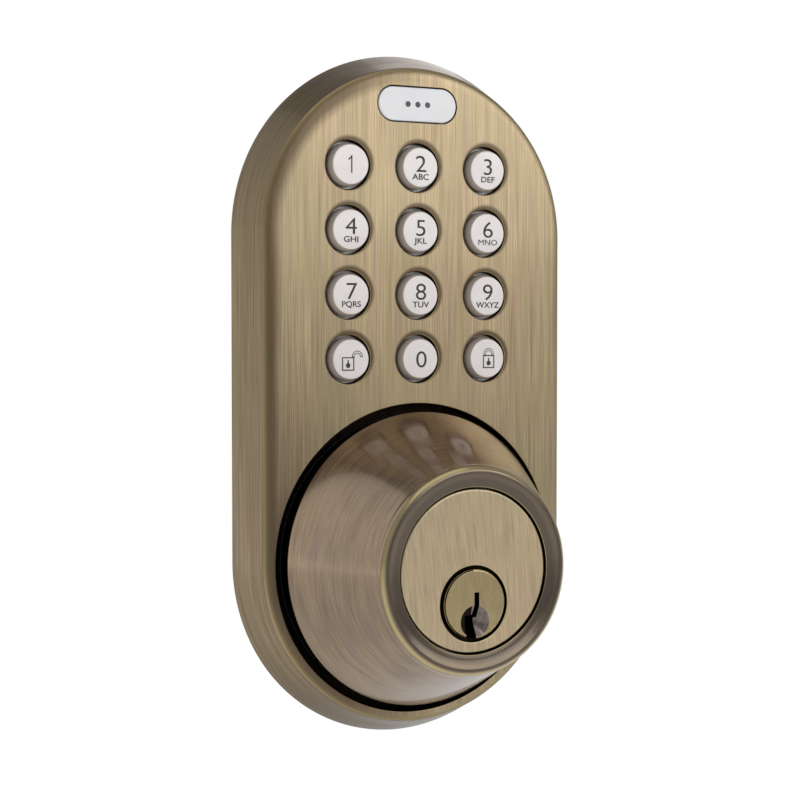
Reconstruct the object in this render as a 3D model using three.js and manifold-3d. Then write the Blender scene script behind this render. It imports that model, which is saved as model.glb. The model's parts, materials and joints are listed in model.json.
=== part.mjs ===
// Outdoor half of a keypad deadbolt lock: a cast escutcheon with twelve keys and a status lens,
// a free-spinning conical cylinder guard, and a pin-tumbler key cylinder with its tailpiece.
//
// Millimetres. Every piece is drawn as the lock lies on its back on a bench: x to the right,
// y up the door, z straight out of the door, with z = 0 on the door's face. The group at the
// end stands it up, so that +Z is up and the front of the lock faces -Y.

import * as THREE from "three";
import { mergeVertices } from "three/addons/utils/BufferGeometryUtils.js";
import Module from "manifold-3d";

const wasm = await Module();
wasm.setup();

// ---------------------------------------------------------------- driving dimensions

// Escutcheon housing: a stadium whose wall leans in towards a flat, softly edged face.
const HOUSING_WIDTH = 70;
const HOUSING_DEPTH = 7.9;
const WALL_LEAN = 3.0;
const EDGE_ROLL_WIDTH = 2.3;
const EDGE_ROLL_DEPTH = 0.9;
const SIDE_WALL = 1.8;
const FACE_WALL = 1.8;

// What closes the housing's back. Pieces that rest on each other keep the rest gap.
const GASKET_THICKNESS = 0.8;
const PLATE_THICKNESS = 1.2;
const PLATE_CLEARANCE = 0.3;
const REST_GAP = 0.2;

// Down the middle of the face: the lens, the keypad, the guard's opening and the chin.
const LENS_FROM_TOP = 10;
const LENS_TO_KEYS = 2.1;
const KEYS_TO_OPENING = 2.75;
const CHIN = 4.8;
const CHEEK = 5.2;

// Keys. The gaps are between the flanges inside the housing.
const KEY_ROWS = [["1", "2", "3"], ["4", "5", "6"], ["7", "8", "9"], ["unlock", "0", "lock"]];
const KEY_GAP_ACROSS = 3.5;
const KEY_GAP_UP = 0.9;
const KEY_BASE_RADIUS = 4.5;
const KEY_TAPER = 0.7;
const KEY_PROUD = 1.2;
const KEY_EDGE = 0.25;
const KEY_WALL = 1.9;
const KEY_HOLE_GAP = 0.45;
const KEY_FLANGE_WIDTH = 1.1;
const KEY_FLANGE_THICKNESS = 0.7;
const KEY_HOLLOW_DEPTH = 2.4;
const KEY_TRAVEL = 0.8;

// Silicone boots under the keys, each a cone that stands inside its key's flange.
const BOOT_FOOT_INSET = 1.2;
const BOOT_CROWN_INSET = 2.3;
const BOOT_WALL = 0.5;
const BOOT_CRUSHED_HEIGHT = 0.5;

// Status lens.
const LENS_LENGTH = 17.1;
const LENS_HEIGHT = 6.7;
const LENS_PROUD = 0.1;
const LENS_GAP = 0.25;
const LENS_FLANGE_WIDTH = 0.9;
const LENS_FLANGE_THICKNESS = 0.7;

// Circuit board and what is soldered to it.
const BOARD_THICKNESS = 1.0;
const BOARD_EDGE_GAP = 0.5;
const LED_LENGTH = 3.2;
const LED_WIDTH = 1.6;
const LED_HEIGHT = 0.6;
const LED_SPREAD = 5;
const CHIP_SIZE = 7;
const CHIP_HEIGHT = 0.7;
const CHIP_UP_FROM_BOARD_FOOT = 26;
const SOCKET_LENGTH = 9;
const SOCKET_HEIGHT = 5;
const SOCKET_THICKNESS = 1.8;
const SOCKET_WALL = 0.5;
const SOCKET_DEPTH = 3.6;
const SOCKET_UP_FROM_BOARD_FOOT = 2;

// Small screws, with their bosses beside the keypad.
const SCREW_RADIUS = 1.1;
const SCREW_HEAD_RADIUS = 2.1;
const SCREW_HEAD_HEIGHT = 0.55;
const SCREW_CLEARANCE = 0.25;
const PLATE_SCREW_HOLD = 2.6;
const BOARD_SCREW_HOLD = 1.3;
const DRIVE_RADIUS = 0.9;
const DRIVE_DEPTH = 0.35;
const BOSS_RADIUS = 2.3;
const BOSS_GAP = 0.8;
const BOSS_ROOT = 0.1;
const BOSS_HOLE_INTO_FACE = 0.45;

// Cylinder guard: a hollow cone that turns freely round the lock cylinder.
const OPENING_WALL = 1.4;
const SEAT_FLOOR = 2.0;
const GUARD_GAP = 1.6;
const GUARD_LIP = 0.8;
const GUARD_BASE_PROUD = 1.5;
const GUARD_FRONT = 30.5;
const GUARD_RING_WIDTH = 2.65;
const GUARD_NOSE_WIDTH = 1.5;
const GUARD_NOSE_HEIGHT = 1.8;
const GUARD_WALL = 2.2;
const GUARD_DISH_DEPTH = 0.6;
const GUARD_SHELF = 1.5;
const WASHER_THICKNESS = 0.6;
const WASHER_WIDTH = 3;

// Lock cylinder. The plug hangs low in the barrel, above the wall named here.
const BARREL_RADIUS = 13.7;
const BARREL_GAP = 0.4;
const HEAD_LIP = 1.3;
const HEAD_THICKNESS = 2.1;
const HEAD_GAP = 0.25;
const HEAD_RECESS = 0.8;
const HEAD_ROOT = 0.1;
const PLUG_RADIUS = 6.35;
const PLUG_CLEARANCE = 0.08;
const PLUG_WALL = 1.27;
const PLUG_PROUD = 0.3;
const PLUG_MOUTH_GAP = 0.6;
const PLUG_MOUTH_DEPTH = 1.2;
const LUG_SPACING = 35;
const LUG_RADIUS = 4;
const LUG_HEIGHT = 10;
const LUG_CAP = 1;

// Keyway and pin chambers.
const SLOT_WIDTH = 1;
const SLOT_OFFSET = 0.4;
const SLOT_TOP_ABOVE_AXIS = 2.1;
const WARD_WIDTH = 2.1;
const WARD_OFFSET = -0.7;
const WARD_TOP_BELOW_AXIS = 2.1;
const KEYWAY_BACK = 3;
const DIMPLE_RADIUS = 2.95;
const DIMPLE_RIM = 0.2;
const DIMPLE_DEPTH = 1.7;
const PIN_LENGTHS = [5.2, 6.4, 4.6, 5.8, 4.9];
const PIN_RADIUS = 1.4;
const PIN_CLEARANCE = 0.12;
const PIN_POINT = 0.8;
const PIN_SHEAR_GAP = 0.15;
const DRIVER_LENGTH = 4.2;
const FIRST_PIN_FROM_FACE = 6.3;
const PIN_PITCH = 3.81;
const COVER_WIDTH = 4;
const COVER_THICKNESS = 1;
const COVER_MARGIN = 2.2;
const COVER_BELOW_TOP = 0.4;

// Plug tail, clip and tailpiece. Negative z is inside the door.
const NECK_STEP = 1.55;
const TAIL_STEP = 0.55;
const TAIL_END = -4;
const CLIP_THICKNESS = 0.6;
const CLIP_OVERHANG = 1.45;
const CLIP_GAP = 0.15;
const CLIP_MOUTH = 7.7;
const BLADE_WIDTH = 6.2;
const BLADE_THICKNESS = 2.4;
const BLADE_END = -45;
const BLADE_GRIP = 3;
const BLADE_GAP = 0.3;
const BLADE_POINT = 2;

// Through-bolt posts, which reach into the door and clamp the plate to the cylinder's lugs.
const POST_ACROSS_FLATS = 8;
const POST_END = -12;
const POST_THREAD_RADIUS = 2.1;
const POST_THREAD_DEPTH = 9;
const STUD_RADIUS = 2;
const STUD_CLEARANCE = 0.25;
const STUD_TIP_GAP = 2;

// Openings at the back, for the cable to the indoor half and for the door's cross bore.
const CABLE_WINDOW_WIDTH = 15;
const CABLE_WINDOW_BELOW_BOARD = 16.5;
const CABLE_WINDOW_ABOVE_SOCKET = 1;
const GASKET_BRIDGE = 3.5;
const GASKET_BORE_RADIUS = 24;

// How many flats make a whole turn, by the size of what is round, and how far cuts overrun.
const LARGE_ROUND = 56;
const MEDIUM_ROUND = 28;
const SMALL_ROUND = 20;
const TINY_ROUND = 8;
const HEXAGON = 6;
const ROLL_STEPS = 3;
const OVERRUN = 1;

// ---------------------------------------------------------------- places that follow

const keyFlangeRadius = KEY_BASE_RADIUS + KEY_FLANGE_WIDTH;
const keyPitchAcross = 2 * keyFlangeRadius + KEY_GAP_ACROSS;
const keyPitchUp = 2 * keyFlangeRadius + KEY_GAP_UP;
const lensToTopRow = LENS_HEIGHT / 2 + LENS_FLANGE_WIDTH + LENS_TO_KEYS + keyFlangeRadius;
const keypadRise = (KEY_ROWS.length - 1) * keyPitchUp;

const halfWidth = HOUSING_WIDTH / 2;
const openingRadius = halfWidth - CHEEK;
const bottomRowToCylinder = keyFlangeRadius + KEYS_TO_OPENING + openingRadius;
const aboveCylinder = LENS_FROM_TOP + lensToTopRow + keypadRise + bottomRowToCylinder;
const halfHeight = (aboveCylinder + openingRadius + CHIN) / 2;
const arcCentre = halfHeight - halfWidth;
const cavityTop = HOUSING_DEPTH - FACE_WALL;
const cavityRadius = halfWidth - WALL_LEAN - SIDE_WALL;
const backRadius = halfWidth - SIDE_WALL;
const plateBack = GASKET_THICKNESS;
const plateFront = plateBack + PLATE_THICKNESS;

const lensUp = halfHeight - LENS_FROM_TOP;
const topRowUp = lensUp - lensToTopRow;
const bottomRowUp = topRowUp - keypadRise;
const cylinderUp = halfHeight - aboveCylinder;

const seatTop = plateFront + SEAT_FLOOR;
const recessOuterRadius = openingRadius + OPENING_WALL;
const plugBore = PLUG_RADIUS + PLUG_CLEARANCE;
const plugDrop = BARREL_RADIUS - PLUG_WALL - plugBore;
const plugUp = cylinderUp - plugDrop;
const headRadius = BARREL_RADIUS + HEAD_LIP;
const headFront = GUARD_FRONT - HEAD_RECESS;
const headBack = headFront - HEAD_THICKNESS;
const barrelBack = plateFront + REST_GAP;
const plugFront = headFront + PLUG_PROUD;
const lugReach = Math.hypot(LUG_SPACING / 2, plugDrop) + LUG_RADIUS;
const seatHoleRadius = lugReach + BARREL_GAP;

const guardBaseRadius = openingRadius - GUARD_GAP;
const guardSkirtRadius = guardBaseRadius - GUARD_LIP;
const guardBaseHeight = HOUSING_DEPTH + GUARD_BASE_PROUD;
const guardMouthRadius = headRadius + HEAD_GAP;
const guardRimRadius = guardMouthRadius + GUARD_RING_WIDTH;
const guardConeTopRadius = guardRimRadius + GUARD_NOSE_WIDTH;
const shelfTop = headBack - HEAD_GAP;
const shelfBack = shelfTop - GUARD_SHELF;
const washerBack = seatTop + REST_GAP;
const washerFront = washerBack + WASHER_THICKNESS;
const guardBack = washerFront + REST_GAP;

const keyFlangeFront = cavityTop - REST_GAP;
const keyFlangeBack = keyFlangeFront - KEY_FLANGE_THICKNESS;
const boardFront = keyFlangeBack - KEY_TRAVEL - BOOT_CRUSHED_HEIGHT;
const boardBack = boardFront - BOARD_THICKNESS;
const boardFoot = cylinderUp + recessOuterRadius + BOARD_EDGE_GAP;
const socketUp = boardFoot + SOCKET_UP_FROM_BOARD_FOOT + SOCKET_HEIGHT / 2;

// Bosses come in pairs, left and right. Those for the plate stand beside the top row and below
// the bottom row; those for the board stand beside the keypad's middle and beside the lens.
const mirrored = [-1, 1];
const bothSides = ([x, y]) => mirrored.map((side) => [side * x, y]);
const bossOut = keyPitchAcross + keyFlangeRadius + BOSS_RADIUS + BOSS_GAP;
const lensBossOut = LENS_LENGTH / 2 + LENS_FLANGE_WIDTH + BOSS_RADIUS + REST_GAP;
const lowerBossUp = bottomRowUp - keyPitchUp + BOSS_RADIUS / 2;
const keypadMiddleUp = (topRowUp + bottomRowUp) / 2;
const plateBosses = [[bossOut, topRowUp], [bossOut, lowerBossUp]].flatMap(bothSides);
const boardBosses = [[bossOut, keypadMiddleUp], [lensBossOut, lensUp - LENS_HEIGHT / 2]].flatMap(bothSides);
const lugSpots = mirrored.map((side) => [side * LUG_SPACING / 2, plugUp]);

const keySpots = KEY_ROWS.flatMap((row, down) => row.map((mark, across) => ({
  mark,
  x: (across - 1) * keyPitchAcross,
  y: topRowUp - down * keyPitchUp,
})));

// ---------------------------------------------------------------- materials

function finish(color, roughness, metalness) {
  return new THREE.MeshStandardMaterial({ color, roughness, metalness });
}

const ANTIQUE_BRASS = finish(0xa58f6b, 0.38, 0.9);
const GUARD_BRASS = finish(0x957f63, 0.25, 0.9);
const KEY_WHITE = finish(0xd9d3cf, 0.35, 0.1);
const LENS_WHITE = finish(0xe6e6e4, 0.2, 0.0);
const SILICONE_GREY = finish(0xb8bcbc, 0.8, 0.0);
const BOARD_GREEN = finish(0x1d5b38, 0.5, 0.0);
const CHIP_BLACK = finish(0x161618, 0.5, 0.0);
const LED_CLEAR = finish(0xf2ecd0, 0.2, 0.0);
const SOCKET_IVORY = finish(0xe8e2cf, 0.5, 0.0);
const ZINC_STEEL = finish(0xb4b6b8, 0.35, 0.9);
const GASKET_BLACK = finish(0x1c1c1c, 0.9, 0.0);
const NYLON_BLACK = finish(0x2a2a2a, 0.6, 0.0);
const PIN_BRASS = finish(0xc7a24e, 0.3, 0.9);

// ---------------------------------------------------------------- solids

// A closed three.js geometry as a manifold solid that booleans can work on.
function solid(geometry) {
  const bare = geometry.index ? geometry.toNonIndexed() : geometry.clone();
  bare.deleteAttribute("normal");
  bare.deleteAttribute("uv");
  const merged = mergeVertices(bare, 1e-4);
  const corners = Array.from(merged.index.array);
  const kept = [];
  for (let i = 0; i < corners.length; i += 3) {
    const [a, b, c] = corners.slice(i, i + 3);
    if (a !== b && b !== c && c !== a) kept.push(a, b, c);
  }
  const mesh = new wasm.Mesh({
    numProp: 3,
    vertProperties: new Float32Array(merged.attributes.position.array),
    triVerts: new Uint32Array(kept),
  });
  return new wasm.Manifold(mesh);
}

// The solid that a closed profile of [radius, z] points sweeps round the z axis.
// The points run up the outside and back down the inside.
function turned(profile, flats) {
  const points = profile.map(([radius, z]) => new THREE.Vector2(radius, z));
  return solid(new THREE.LatheGeometry(points, flats).rotateX(Math.PI / 2));
}

// The same round the y axis, for pins that stand up the door.
function turnedUpright(profile, flats) {
  return solid(new THREE.LatheGeometry(profile.map(([radius, y]) => new THREE.Vector2(radius, y)), flats));
}

// A flat outline given thickness from z = back to z = front.
function slab(shape, back, front, flats) {
  const settings = { depth: front - back, bevelEnabled: false, curveSegments: flats };
  return solid(new THREE.ExtrudeGeometry(shape, settings).translate(0, 0, back));
}

function rod(radius, back, front, flats) {
  return turned([[0, back], [radius, back], [radius, front], [0, front]], flats);
}

function block(width, height, back, front) {
  return solid(new THREE.BoxGeometry(width, height, front - back).translate(0, 0, (front + back) / 2));
}

// A pill outline: two half circles of the given radius, their centres `reach` from the middle.
function pill(radius, reach, upright) {
  const shape = new THREE.Shape();
  if (upright) {
    shape.absarc(0, reach, radius, 0, Math.PI, false);
    shape.absarc(0, -reach, radius, Math.PI, 2 * Math.PI, false);
  } else {
    shape.absarc(reach, 0, radius, -Math.PI / 2, Math.PI / 2, false);
    shape.absarc(-reach, 0, radius, Math.PI / 2, 3 * Math.PI / 2, false);
  }
  shape.closePath();
  return shape;
}

function standingSlab(radius, back, front) {
  return slab(pill(radius, arcCentre, true), back, front, LARGE_ROUND / 2);
}

function lyingSlab(radius, reach, back, front) {
  return slab(pill(radius, reach, false), back, front, SMALL_ROUND / 2);
}

const placed = (shape, x, y) => shape.translate([x, y, 0]);
const joined = (shapes) => shapes.reduce((whole, next) => whole.add(next));

const lock = new THREE.Group();

function addPiece(name, shape, material) {
  const { vertProperties, triVerts, numProp } = shape.getMesh();
  const positions = new Float32Array(vertProperties.length / numProp * 3);
  for (let i = 0; i < positions.length / 3; i += 1) {
    positions.set(vertProperties.subarray(i * numProp, i * numProp + 3), i * 3);
  }
  const geometry = new THREE.BufferGeometry();
  geometry.setAttribute("position", new THREE.BufferAttribute(positions, 3));
  geometry.setIndex(new THREE.BufferAttribute(new Uint32Array(triVerts), 1));
  geometry.computeVertexNormals();
  const mesh = new THREE.Mesh(geometry, material);
  mesh.name = name;
  lock.add(mesh);
}

// ---------------------------------------------------------------- housing

// Section of the housing from its rim to the rolled edge of its face, as [distance out, z].
function housingSection() {
  const shoulder = halfWidth - WALL_LEAN;
  const section = [[halfWidth, 0]];
  for (let step = 0; step <= ROLL_STEPS; step += 1) {
    const turn = step / ROLL_STEPS * Math.PI / 2;
    section.push([
      shoulder - EDGE_ROLL_WIDTH * (1 - Math.cos(turn)),
      HOUSING_DEPTH - EDGE_ROLL_DEPTH * (1 - Math.sin(turn)),
    ]);
  }
  return section;
}

function housingBlank() {
  const section = housingSection();
  const end = turned([[0, 0], ...section, [0, HOUSING_DEPTH]], LARGE_ROUND);
  const crossing = new THREE.Shape();
  crossing.moveTo(...section[0]);
  section.slice(1).forEach(([out, z]) => crossing.lineTo(out, z));
  [...section].reverse().forEach(([out, z]) => crossing.lineTo(-out, z));
  crossing.closePath();
  const middle = new THREE.ExtrudeGeometry(crossing, { depth: 2 * arcCentre, bevelEnabled: false });
  middle.rotateX(Math.PI / 2).translate(0, arcCentre, 0);
  return joined([solid(middle), placed(end, 0, arcCentre), placed(end, 0, -arcCentre)]);
}

// The room for the keypad and board: inside the side wall and above the guard's recess.
function boardRoom() {
  const below = block(HOUSING_WIDTH, 2 * halfHeight, 0, HOUSING_DEPTH);
  return standingSlab(cavityRadius, plateFront - REST_GAP, cavityTop)
    .subtract(placed(below, 0, cylinderUp - halfHeight))
    .subtract(placed(rod(recessOuterRadius, 0, HOUSING_DEPTH, LARGE_ROUND), 0, cylinderUp));
}

function housing() {
  const bosses = [
    ...plateBosses.map(([x, y]) => [x, y, barrelBack]),
    ...boardBosses.map(([x, y]) => [x, y, boardFront + REST_GAP]),
  ];
  const opening = rod(openingRadius, seatTop, HOUSING_DEPTH + OVERRUN, LARGE_ROUND);
  const keyHole = rod(KEY_BASE_RADIUS + KEY_HOLE_GAP, boardFront, HOUSING_DEPTH + OVERRUN, SMALL_ROUND);
  const lensReach = (LENS_LENGTH - LENS_HEIGHT) / 2;
  const lensHole = lyingSlab(LENS_HEIGHT / 2 + LENS_GAP, lensReach, boardFront, HOUSING_DEPTH + OVERRUN);
  let shell = housingBlank()
    .subtract(boardRoom())
    .subtract(standingSlab(backRadius, -OVERRUN, plateFront))
    .subtract(placed(opening, 0, cylinderUp))
    .subtract(placed(rod(seatHoleRadius, 0, HOUSING_DEPTH, LARGE_ROUND), 0, cylinderUp))
    .subtract(placed(lensHole, 0, lensUp));
  bosses.forEach(([x, y, foot]) => {
    shell = shell.add(placed(rod(BOSS_RADIUS, foot, cavityTop + BOSS_ROOT, SMALL_ROUND), x, y));
    const screwHole = rod(SCREW_RADIUS + SCREW_CLEARANCE, 0, cavityTop + BOSS_HOLE_INTO_FACE, TINY_ROUND);
    shell = shell.subtract(placed(screwHole, x, y));
  });
  keySpots.forEach(({ x, y }) => {
    shell = shell.subtract(placed(keyHole, x, y));
  });
  return shell;
}

addPiece("housing", housing(), ANTIQUE_BRASS);

// ---------------------------------------------------------------- back plate and gasket

const windowFoot = boardFoot - CABLE_WINDOW_BELOW_BOARD;
const windowTop = socketUp + SOCKET_HEIGHT / 2 + CABLE_WINDOW_ABOVE_SOCKET;

// A cut for the cable, from the window's foot up to `top`, right through plate or gasket.
function cableWindow(top) {
  const cut = block(CABLE_WINDOW_WIDTH, top - windowFoot, -OVERRUN, plateFront + OVERRUN);
  return placed(cut, 0, (top + windowFoot) / 2);
}

const throughBack = (radius, flats) => rod(radius, -OVERRUN, plateFront + OVERRUN, flats);

function backPlate() {
  const clipHole = throughBack(PLUG_RADIUS + CLIP_OVERHANG + BARREL_GAP, SMALL_ROUND);
  let plate = standingSlab(backRadius - PLATE_CLEARANCE, plateBack, plateFront)
    .subtract(cableWindow(windowTop))
    .subtract(placed(clipHole, 0, plugUp));
  lugSpots.forEach(([x, y]) => {
    plate = plate.subtract(placed(throughBack(STUD_RADIUS + STUD_CLEARANCE, TINY_ROUND), x, y));
  });
  plateBosses.forEach(([x, y]) => {
    plate = plate.subtract(placed(throughBack(SCREW_RADIUS + SCREW_CLEARANCE, TINY_ROUND), x, y));
  });
  return plate;
}

function doorGasket() {
  let gasket = standingSlab(backRadius - PLATE_CLEARANCE, 0, plateBack)
    .subtract(cableWindow(boardFoot - GASKET_BRIDGE))
    .subtract(placed(throughBack(GASKET_BORE_RADIUS, LARGE_ROUND), 0, plugUp));
  plateBosses.forEach(([x, y]) => {
    gasket = gasket.subtract(placed(throughBack(SCREW_HEAD_RADIUS + SCREW_CLEARANCE, TINY_ROUND), x, y));
  });
  return gasket;
}

// A pan-head screw put in from the back: its head's underside is just behind z = seat.
function screw(seat, tip) {
  const underHead = seat - SCREW_CLEARANCE / 2;
  const headTop = underHead - SCREW_HEAD_HEIGHT;
  const blank = turned([
    [0, headTop],
    [SCREW_HEAD_RADIUS, headTop],
    [SCREW_HEAD_RADIUS, underHead],
    [SCREW_RADIUS, underHead],
    [SCREW_RADIUS, tip],
    [0, tip],
  ], TINY_ROUND);
  return blank.subtract(rod(DRIVE_RADIUS, headTop - OVERRUN, headTop + DRIVE_DEPTH, HEXAGON));
}

addPiece("back_plate", backPlate(), ZINC_STEEL);
addPiece("door_gasket", doorGasket(), GASKET_BLACK);
plateBosses.forEach(([x, y], index) => {
  const plateScrew = screw(plateBack, plateFront + PLATE_SCREW_HOLD);
  addPiece(`plate_screw_${index + 1}`, placed(plateScrew, x, y), ZINC_STEEL);
});

// ---------------------------------------------------------------- keys and their silicone boots

function keyCap() {
  const capTop = HOUSING_DEPTH + KEY_PROUD;
  const topRadius = KEY_BASE_RADIUS - KEY_TAPER;
  const hollowRadius = KEY_BASE_RADIUS - KEY_WALL;
  return turned([
    [hollowRadius, keyFlangeBack],
    [keyFlangeRadius, keyFlangeBack],
    [keyFlangeRadius, keyFlangeFront],
    [KEY_BASE_RADIUS, keyFlangeFront],
    [KEY_BASE_RADIUS, HOUSING_DEPTH],
    [topRadius, capTop - KEY_EDGE],
    [topRadius - KEY_EDGE, capTop],
    [0, capTop],
    [0, keyFlangeBack + KEY_HOLLOW_DEPTH],
    [hollowRadius, keyFlangeBack + KEY_HOLLOW_DEPTH],
    [hollowRadius, keyFlangeBack],
  ], SMALL_ROUND);
}

function keyBoot() {
  const foot = boardFront + REST_GAP / 2;
  const crown = keyFlangeBack - REST_GAP / 2;
  const footRadius = keyFlangeRadius - BOOT_FOOT_INSET;
  const crownRadius = keyFlangeRadius - BOOT_CROWN_INSET;
  return turned([
    [footRadius - BOOT_WALL, foot],
    [footRadius, foot],
    [crownRadius, crown],
    [0, crown],
    [0, crown - BOOT_WALL],
    [crownRadius - BOOT_WALL, crown - BOOT_WALL],
    [footRadius - BOOT_WALL, foot],
  ], TINY_ROUND);
}

keySpots.forEach(({ mark, x, y }) => {
  addPiece(`key_${mark}`, placed(keyCap(), x, y), KEY_WHITE);
  addPiece(`boot_${mark}`, placed(keyBoot(), x, y), SILICONE_GREY);
});

// ---------------------------------------------------------------- status lens

function statusLens() {
  const reach = (LENS_LENGTH - LENS_HEIGHT) / 2;
  const radius = LENS_HEIGHT / 2;
  const flangeFront = cavityTop - REST_GAP;
  const flangeBack = flangeFront - LENS_FLANGE_THICKNESS;
  return lyingSlab(radius, reach, flangeBack, HOUSING_DEPTH + LENS_PROUD)
    .add(lyingSlab(radius + LENS_FLANGE_WIDTH, reach, flangeBack, flangeFront));
}

addPiece("status_lens", placed(statusLens(), 0, lensUp), LENS_WHITE);

// ---------------------------------------------------------------- circuit board

function circuitBoard() {
  const recess = rod(recessOuterRadius + BOARD_EDGE_GAP, 0, HOUSING_DEPTH, LARGE_ROUND);
  const below = block(HOUSING_WIDTH, 2 * halfHeight, 0, HOUSING_DEPTH);
  const lowerEdge = lowerBossUp - BOSS_RADIUS - 2 * BOARD_EDGE_GAP;
  let board = standingSlab(cavityRadius - BOARD_EDGE_GAP, boardBack, boardFront)
    .subtract(placed(recess, 0, cylinderUp))
    .subtract(placed(below, 0, lowerEdge - halfHeight));
  plateBosses.forEach(([x, y]) => {
    board = board.subtract(placed(rod(BOSS_RADIUS + BOARD_EDGE_GAP, 0, HOUSING_DEPTH, SMALL_ROUND), x, y));
  });
  boardBosses.forEach(([x, y]) => {
    board = board.subtract(placed(rod(SCREW_RADIUS + SCREW_CLEARANCE, 0, HOUSING_DEPTH, TINY_ROUND), x, y));
  });
  return board;
}

function cableSocket() {
  const front = boardBack - REST_GAP / 2;
  const back = front - SOCKET_THICKNESS;
  const mouthWidth = SOCKET_LENGTH - 2 * SOCKET_WALL;
  const mouth = block(mouthWidth, 2 * SOCKET_DEPTH, back + SOCKET_WALL, front - SOCKET_WALL);
  return block(SOCKET_LENGTH, SOCKET_HEIGHT, back, front)
    .subtract(placed(mouth, 0, -SOCKET_HEIGHT / 2));
}

addPiece("circuit_board", circuitBoard(), BOARD_GREEN);
boardBosses.forEach(([x, y], index) => {
  const boardScrew = screw(boardBack, boardFront + BOARD_SCREW_HOLD);
  addPiece(`board_screw_${index + 1}`, placed(boardScrew, x, y), ZINC_STEEL);
});
addPiece("cable_socket", placed(cableSocket(), 0, socketUp), SOCKET_IVORY);
const chipFront = boardBack - REST_GAP / 2;
const chip = block(CHIP_SIZE, CHIP_SIZE, chipFront - CHIP_HEIGHT, chipFront);
addPiece("controller_chip", placed(chip, 0, boardFoot + CHIP_UP_FROM_BOARD_FOOT), CHIP_BLACK);
const ledBack = boardFront + REST_GAP / 2;
[["status_led_left", -1], ["status_led_right", 1]].forEach(([name, side]) => {
  const led = block(LED_LENGTH, LED_WIDTH, ledBack, ledBack + LED_HEIGHT);
  addPiece(name, placed(led, side * LED_SPREAD / 2, lensUp), LED_CLEAR);
});

// ---------------------------------------------------------------- cylinder guard

// The guard's nose: a round from the end of the cone over to the front rim, as [radius, z].
function guardNose() {
  const nose = [];
  for (let step = 0; step <= ROLL_STEPS; step += 1) {
    const turn = step / ROLL_STEPS * Math.PI / 2;
    nose.push([
      guardRimRadius + GUARD_NOSE_WIDTH * Math.cos(turn),
      GUARD_FRONT - GUARD_NOSE_HEIGHT * (1 - Math.sin(turn)),
    ]);
  }
  return nose;
}

function cylinderGuard() {
  const collar = BARREL_RADIUS + BARREL_GAP;
  const coneTop = GUARD_FRONT - GUARD_NOSE_HEIGHT;
  const lean = (guardBaseRadius - guardConeTopRadius) / (coneTop - guardBaseHeight);
  const innerTop = guardConeTopRadius - GUARD_WALL + lean * (coneTop - shelfBack);
  const innerFoot = guardSkirtRadius - GUARD_WALL;
  return turned([
    [innerFoot, guardBack],
    [guardSkirtRadius, guardBack],
    [guardSkirtRadius, guardBaseHeight - GUARD_LIP],
    [guardBaseRadius, guardBaseHeight],
    ...guardNose(),
    [guardMouthRadius, GUARD_FRONT - GUARD_DISH_DEPTH],
    [guardMouthRadius, shelfTop],
    [collar, shelfTop],
    [collar, shelfBack],
    [innerTop, shelfBack],
    [innerFoot, guardBaseHeight],
    [innerFoot, guardBack],
  ], LARGE_ROUND);
}

function guardWasher() {
  const inner = guardSkirtRadius - WASHER_WIDTH;
  return turned([
    [inner, washerBack],
    [guardSkirtRadius, washerBack],
    [guardSkirtRadius, washerFront],
    [inner, washerFront],
    [inner, washerBack],
  ], LARGE_ROUND);
}

addPiece("cylinder_guard", placed(cylinderGuard(), 0, cylinderUp), GUARD_BRASS);
addPiece("guard_washer", placed(guardWasher(), 0, cylinderUp), NYLON_BLACK);

// ---------------------------------------------------------------- lock cylinder

const pinDepths = PIN_LENGTHS.map((_, index) => plugFront - FIRST_PIN_FROM_FACE - index * PIN_PITCH);
const chamberRadius = PIN_RADIUS + PIN_CLEARANCE;
const coverTop = cylinderUp + BARREL_RADIUS - COVER_BELOW_TOP;
const coverFoot = coverTop - COVER_THICKNESS;
const coverFront = pinDepths[0] + COVER_MARGIN;
const coverBack = pinDepths[pinDepths.length - 1] - COVER_MARGIN;

function chambers(foot, top) {
  const hole = turnedUpright([[0, foot], [chamberRadius, foot], [chamberRadius, top], [0, top]], TINY_ROUND);
  return joined(pinDepths.map((depth) => hole.translate([0, 0, depth])));
}

function cylinderBody() {
  const lugTop = barrelBack + LUG_HEIGHT;
  const lug = rod(LUG_RADIUS, barrelBack, lugTop, SMALL_ROUND);
  const stud = rod(STUD_RADIUS + STUD_CLEARANCE, 0, lugTop - LUG_CAP, TINY_ROUND);
  const overHead = headFront + OVERRUN;
  const mouth = rod(PLUG_RADIUS + PLUG_MOUTH_GAP, headFront - PLUG_MOUTH_DEPTH, overHead, MEDIUM_ROUND);
  const coverSlot = block(COVER_WIDTH + 2 * PIN_CLEARANCE, BARREL_RADIUS, coverBack, coverFront);
  let body = placed(rod(BARREL_RADIUS, barrelBack, headBack + HEAD_ROOT, LARGE_ROUND), 0, cylinderUp)
    .add(placed(rod(headRadius, headBack, headFront, LARGE_ROUND), 0, cylinderUp))
    .add(placed(block(LUG_SPACING, LUG_RADIUS, barrelBack, lugTop), 0, plugUp));
  lugSpots.forEach(([x, y]) => {
    body = body.add(placed(lug, x, y)).subtract(placed(stud, x, y));
  });
  return body
    .subtract(placed(rod(plugBore, 0, overHead, MEDIUM_ROUND), 0, plugUp))
    .subtract(placed(mouth, 0, plugUp))
    .subtract(chambers(plugUp, cylinderUp + BARREL_RADIUS))
    .subtract(placed(coverSlot, 0, coverFoot - PIN_CLEARANCE + BARREL_RADIUS / 2));
}

addPiece("cylinder_body", cylinderBody(), ANTIQUE_BRASS);
const cover = block(COVER_WIDTH, COVER_THICKNESS, coverBack + PIN_CLEARANCE, coverFront - PIN_CLEARANCE);
addPiece("pin_cover", placed(cover, 0, (coverTop + coverFoot) / 2), PIN_BRASS);

// ---------------------------------------------------------------- plug, pins, clip and tailpiece

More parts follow.
